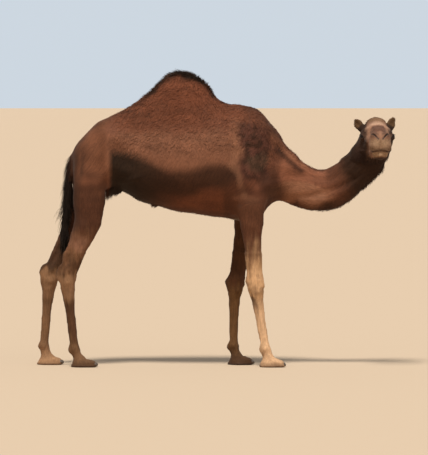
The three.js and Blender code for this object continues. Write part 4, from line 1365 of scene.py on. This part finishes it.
def node_group(name, inputs, outputs):
    """An empty shader group with named sockets, its input sockets and its last node."""
    group = bpy.data.node_groups.new(name, "ShaderNodeTree")
    for label, kind, default in inputs:
        socket = group.interface.new_socket(label, in_out="INPUT", socket_type=kind)
        if default is not None:
            socket.default_value = default
    for label, kind in outputs:
        group.interface.new_socket(label, in_out="OUTPUT", socket_type=kind)
    return group, group.nodes.new("NodeGroupInput").outputs, group.nodes.new("NodeGroupOutput")


def times(tree, a, b):
    return put(tree, "Math", {0: a, 1: b}, operation="MULTIPLY")


def blend_node(tree, share, a, b, how="MIX"):
    return put(tree, "Mix", {0: share, 6: a, 7: b}, 2, data_type="RGBA", blend_type=how)


def ranged(tree, value, low, high, to_low=0.0, to_high=1.0):
    ends = {"From Min": low, "From Max": high, "To Min": to_low, "To Max": to_high}
    return put(tree, "MapRange", {"Value": value, **ends})


def noise(tree, place, scale, detail, out="Fac", **more):
    return put(tree, "TexNoise", {"Vector": place, "Scale": scale, "Detail": detail, **more}, out)


def bump(tree, height, strength, distance):
    return put(tree, "Bump", {"Height": height, "Strength": strength, "Distance": distance})


def attribute(tree, name, out="Fac"):
    return put(tree, "Attribute", {}, out, attribute_name=name)


def object_place(tree):
    return put(tree, "TexCoord", {}, "Object")


def strand_group():
    """Fine strands along the hair: how light each is, and how high."""
    group, start, end = node_group(
        "fine_strands",
        [("Hair", VECTOR, None), ("Fineness", FLOAT, 300.0)],
        [("Shade", FLOAT), ("Height", FLOAT)],
    )
    fine = noise(group, start["Hair"], start["Fineness"], 3.0, Roughness=0.6)
    locks = noise(group, start["Hair"], times(group, start["Fineness"], 0.3), 2.0, Distortion=0.4)
    total = put(group, "Math", {0: times(group, fine, 0.55), 1: times(group, locks, 0.45)})
    feed(end, {"Height": total, "Shade": ranged(group, total, 0.32, 0.68, 0.62, 1.30)})
    return group


def curl_group():
    """Strands that wind about as they do in wool: how light each is, and how high."""
    group, start, end = node_group(
        "wool_curls",
        [("Place", VECTOR, None), ("Hair", VECTOR, None), ("Size", FLOAT, 45.0)],
        [("Shade", FLOAT), ("Height", FLOAT)],
    )
    warp = noise(group, start["Place"], start["Size"], 2.0, "Color")
    moved = put(group, "VectorMath", {0: warp, 1: (0.008, 0.034, 0.034)}, operation="MULTIPLY")
    place = put(group, "VectorMath", {0: start["Hair"], 1: moved})
    strands = noise(group, place, 170.0, 3.0, Roughness=0.6)
    feed(end, {"Height": strands, "Shade": ranged(group, strands, 0.34, 0.66, 0.52, 1.30)})
    return group


def hide_material(strands, curls):
    """The skin with its short hair: strands or curls over the markings, and bare skin without."""
    material, tree, shader = new_material("hide", MATT_HAIR)
    coat, hair = attribute(tree, "Coat", "Color"), attribute(tree, "Hair", "Vector")
    bare, wool = attribute(tree, "Bare"), attribute(tree, "Wool")
    place = object_place(tree)
    strand = put(tree, "Group", {"Hair": hair, "Fineness": 330}, node_tree=strands).node.outputs
    curl = put(tree, "Group", {"Place": place, "Hair": hair, "Size": 48}, node_tree=curls).node.outputs
    shade, height = [put(tree, "Mix", {0: wool, 2: strand[k], 3: curl[k]}) for k in ("Shade", "Height")]
    # The hide is darkened under the wool: painted shade in the gaps between the locks.
    wool_gap_shade = times(tree, shade, ranged(tree, wool, 0, 1, 0.95, 0.78))
    pores = put(tree, "TexVoronoi", {"Vector": place, "Scale": 260.0}, "Distance")
    naked = blend_node(tree, 1.0, coat, ranged(tree, pores, 0, 0.6, 0.55, 1.1), "MULTIPLY")
    darker = blend_node(tree, 0.45, naked, (0.030, 0.020, 0.018, 1))
    relief = put(tree, "Mix", {0: bare, 2: height, 3: times(tree, pores, 0.35)})
    feed(shader, {
        "Base Color": blend_node(tree, bare, blend_node(tree, 1.0, coat, wool_gap_shade, "MULTIPLY"), darker),
        "Roughness": ranged(tree, bare, 0, 1, 0.82, 0.58),
        "Normal": bump(tree, relief, 0.55, 0.003),
    })
    return material


def tuft_group():
    """A lock's colour from root to tip, with its own share of light and dark."""
    inputs = [("Coat", COLOUR, None), ("Tip", FLOAT, 0.5), ("Strand", FLOAT, 0.5)]
    shades = [("Root shade", FLOAT, 0.6), ("Tip shade", FLOAT, 1.3)]
    group, start, end = node_group("lock_colour", inputs + shades, [("Colour", COLOUR)])
    fade = ranged(group, start["Tip"], 0, 1, start["Root shade"], start["Tip shade"])
    vary = ranged(group, start["Strand"], 0, 1, 0.93, 1.07)
    both = times(group, fade, vary)
    feed(end, {"Colour": blend_node(group, 1.0, start["Coat"], both, "MULTIPLY")})
    return group


def tuft_material(name, locks, root_shade, tip_shade, roughness):
    material, tree, shader = new_material(name, {"Roughness": roughness, **MATT_HAIR})
    lock = {"Root shade": root_shade, "Tip shade": tip_shade, "Coat": attribute(tree, "Coat", "Color"),
            "Tip": attribute(tree, "Tip"), "Strand": attribute(tree, "Strand")}
    grain = noise(tree, object_place(tree), 900.0, 2.0)
    colour = put(tree, "Group", lock, node_tree=locks)
    feed(shader, {"Base Color": colour, "Normal": bump(tree, grain, 0.35, 0.001)})
    return material


# --- eyes and toenails
CORNEA = 0.05
EYE_SLACK = 0.2 * MM


def build_eye(name, side):
    """A smooth eyeball with a raised cornea, looking out of its socket."""
    out, nose, upward = eye_axes(side)
    build = bmesh.new()
    bmesh.ops.create_uvsphere(build, u_segments=56, v_segments=40, radius=1)
    mesh = closed(build, bpy.data.meshes.new(f"{name}_ball"))
    gaze = points_of(mesh)
    off_axis = np.arccos(np.clip(gaze[:, 2], -1, 1))
    bulge = 1 + CORNEA * fall(0.40, 0.75, off_axis)
    axes = np.array([nose, upward, out])
    move_points(mesh, EYE[side] + (gaze * bulge[:, None]) @ axes * (EYE_RADIUS - EYE_SLACK))
    if side > 0:
        mesh.flip_normals()
    add_layer(mesh, "Gaze", gaze, "vector")
    mesh.shade_smooth()
    return in_scene(f"{name}_ball", mesh)


def eye_material():
    """A brown iris with a flat oval pupil, dark at its rim, under a wet clear coat."""
    wet = {"Roughness": 0.15, "Specular IOR Level": 0.10, "Coat Weight": 0.30, "Coat Roughness": 0.15}
    material, tree, shader = new_material("eye_wet", wet)
    gaze = attribute(tree, "Gaze", "Vector")
    parts = put(tree, "SeparateXYZ", {0: gaze}).node.outputs

    def off_middle(tall):
        flat = put(tree, "CombineXYZ", {"X": parts["X"], "Y": tall})
        return put(tree, "VectorMath", {0: flat}, "Value", operation="LENGTH")

    pupil = ranged(tree, off_middle(times(tree, parts["Y"], 1.9)), 0.30, 0.36)
    rim = ranged(tree, off_middle(parts["Y"]), 0.50, 0.66)
    fibres = noise(tree, gaze, 14.0, 4.0)
    iris = blend_node(tree, fibres, (0.008, 0.004, 0.002, 1), (0.035, 0.016, 0.007, 1))
    seen = blend_node(tree, pupil, (0.002, 0.002, 0.002, 1), iris)
    feed(shader, {"Base Color": blend_node(tree, rim, seen, (0.012, 0.007, 0.005, 1))})
    return material


def build_nail(node):
    """A toenail evened into a smooth horn, ridged across its growth."""
    obj = fused(f"{node}_horn", [node], NAIL_CELL)
    points = smoothed(points_of(obj.data), link_table(obj.data), 10, 0.5, 1.03)
    move_points(obj.data, points)
    growth = np.sin((points[:, 0] - points[:, 0].min()) * 2 * math.pi / (5 * MM))
    points += read(obj.data.vertices, "normal") * (0.35 * MM * growth)[:, None]
    points[:, 2] = np.maximum(points[:, 2], GROUND_GAP)
    move_points(obj.data, points)
    obj.data.shade_smooth()
    return obj


def nail_material():
    material, tree, shader = new_material("dark_horn", {"Roughness": 0.42})
    stretch = {0: object_place(tree), 1: (0.15, 1.0, 1.0)}
    streaks = noise(tree, put(tree, "VectorMath", stretch, operation="MULTIPLY"), 420.0, 3.0)
    colour = blend_node(tree, streaks, (0.022, 0.014, 0.010, 1), (0.13, 0.085, 0.055, 1))
    feed(shader, {"Base Color": colour, "Normal": bump(tree, streaks, 0.3, 0.001)})
    return material


# --- making it
# Where the skin is split finer: about the muzzle once, and twice about the eyes.
MUZZLE = from_head(220, 0, -60)
MUZZLE_REACH = 0.115
EYE_REACHES = (0.045, 0.034)


def shaped_skin():
    """The skin with its muscles, bones, face and feet, still at the solids' size."""
    skin = build_skin()
    clay = Clay(skin)
    x, _, level = clay.points.T
    at_neck_cut = bell((clay.points - NECK_CUT) @ NECK_WAY, 0.05) * (x > NECK_LINE[2][0] - 0.1)
    seam = np.maximum(at_neck_cut, bell(level - LEG_CUT[2], 0.05))
    coarse = rise(0.24, 0.36, size_of(clay.points - HEAD_ORIGIN)) * rise(0.09, 0.16, level)
    for rounds, amount, undo in ((24, 0.5, 1.04), (70, 0.55 * coarse, 1.02), (70, 0.7 * seam, 1.0)):
        clay.points = smoothed(clay.points, clay.links, rounds, amount, undo)
    clay.refresh()
    refine(skin, [MUZZLE], MUZZLE_REACH)
    for reach in EYE_REACHES:
        refine(skin, [EYE[1], EYE[-1]], reach)
    clay = Clay(skin)
    for shape in (shape_trunk, shape_legs, shape_feet, shape_face, shape_lids):
        shape(clay)
    return skin, clay


LASHES = 130


def lash_roots(side):
    """Roots along the upper lid's edge, with hairs that sweep out, down and forward."""
    out, nose, upward = eye_axes(side)
    share = np.linspace(-0.88, 0.88, LASHES)[:, None] + random.normal(0, 0.02, (LASHES, 1))
    flat = (share * LID_WIDTH * nose + lid_arch(share) * LID_RISE * upward) / EYE_RADIUS
    way = unit(flat + out * np.sqrt(np.maximum(1 - (flat**2).sum(1, keepdims=True), 0.05)))
    lying = unit(0.75 * out + (0.5 * share - 0.1) * nose - 0.35 * upward)
    roots = {
        "point": EYE[side] + way * (EYE_RADIUS + LID_THICK + 0.6 * MM) + 1.5 * MM * upward,
        "normal": across(upward + 0 * way, lying),
        "lie": lying,
        "colour": np.tile(SOOT * 0.6, (LASHES, 1)),
        "map": np.full((LASHES, 2), 0.5),
    }
    evenly = {"length": 8.5 * MM, "width": 0.8 * MM, "curl": 0.15, "lift": 0.2, "droop": 0.9}
    roots.update((name, np.full((LASHES, 1), value)) for name, value in evenly.items())
    return roots


# Hair of this length or more grows in long locks, apart from on the trunk.
LONG_FROM = 24 * MM

set_stage()
skin, clay = shaped_skin()
body = survey(clay)
clay.raise_by(-smoothed(coat_depth(body), clay.links, 4, 0.5))
clay.points = smoothed(clay.points, clay.links, 2, 0.3)
clay.points[:, 2] = np.maximum(clay.points[:, 2], GROUND_GAP)
clay.refresh()
body.points, body.normals = clay.points, clay.normals
unwrap(skin)
lie = lie_of_coat(body)
colour = markings(body)
add_layer(skin.data, "Coat", colour, "colour")
add_layer(skin.data, "Bare", bareness(body))
add_layer(skin.data, "Wool", woolliness(body))
add_layer(skin.data, "Hair", hair_space(body), "vector")
skin.data.shade_smooth()
locks = tuft_group()
skin.data.materials.append(hide_material(strand_group(), curl_group()))
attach(skin, "root")
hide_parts(*FLESH)

wool_finish = tuft_material("wool_locks", locks, 0.78, 1.25, 0.85)
short_finish = tuft_material("short_hair", locks, 0.94, 1.08, 0.80)
long_finish = tuft_material("long_hair", locks, 0.75, 1.20, 0.62)
measures = coat_fields(body)
fields = {name: values[:, None] for name, values in vars(measures).items()}
fields.update(point=body.points, normal=body.normals, lie=lie, colour=colour)
left, right = body.near < 0.5, body.near > 0.5
regions = [body.trunk, body.neck, body.head + body.ears, body.fore, body.hind, body.tail]
trunk, neck, head, fore, hind, tail = [np.argmax(regions, 0) == k for k in range(len(regions))]
tufted = sheath_patch(body) > 0.5
hump = trunk & (body.hump > 0.5) & ~tufted
upper = trunk & ~hump & ~tufted & (body.high > 0.52)
lower = trunk & ~hump & ~upper & ~tufted
long_hair = (tail | (measures.length > LONG_FROM)) & ~trunk | tufted
# Each finish with its locks to a clump and how far they lean together.
WOOL, SHORT, LONG = (wool_finish, 5, 0.5), (short_finish, 4, 0.35), (long_finish, 8, 0.6)
# The coat's pieces: where each grows, its number of locks, the rings of a lock, slot and finish.
PIECES = [
    ("coat_hump", hump, 8600, 4, "flank_coat", WOOL),
    ("coat_back_left", upper & left, 8600, 4, "flank_coat", WOOL),
    ("coat_back_right", upper & right, 8600, 4, "flank_coat", WOOL),
    ("coat_flank_left", lower & left, 7000, 3, "flank_coat", SHORT),
    ("coat_flank_right", lower & right, 7000, 3, "flank_coat", SHORT),
    ("coat_neck", neck & ~long_hair, 9500, 3, "flank_coat", SHORT),
    ("coat_mane", long_hair, 6000, 5, "mane_coat", LONG),
    ("coat_head", head & ~long_hair, 13500, 2, "face_coat", SHORT),
    ("coat_forelegs", fore & ~long_hair, 11500, 2, "leg_coat", SHORT),
    ("coat_hindlegs", hind & ~long_hair, 12500, 2, "leg_coat", SHORT),
]
for name, inside, count, rings, slot, finish in PIECES:
    roots = choose_roots(skin, fields, inside.astype(float), count)
    grow_tufts(name, roots, rings, slot, *finish)
wet, horn = eye_material(), nail_material()
for name, side in SIDES.items():
    grow_tufts(f"lashes_{name}", lash_roots(side), 4, "mane_coat", long_finish, 3, 0.3, 0.6)
    ball = build_eye(f"eye_{name}", side)
    ball.data.materials.append(wet)
    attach(ball, "root")
    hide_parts(f"eye_{name}")
for node in SOLIDS:
    if node.startswith("toenail_"):
        nail = build_nail(node)
        nail.data.materials.append(horn)
        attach(nail, "root")
        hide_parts(node)
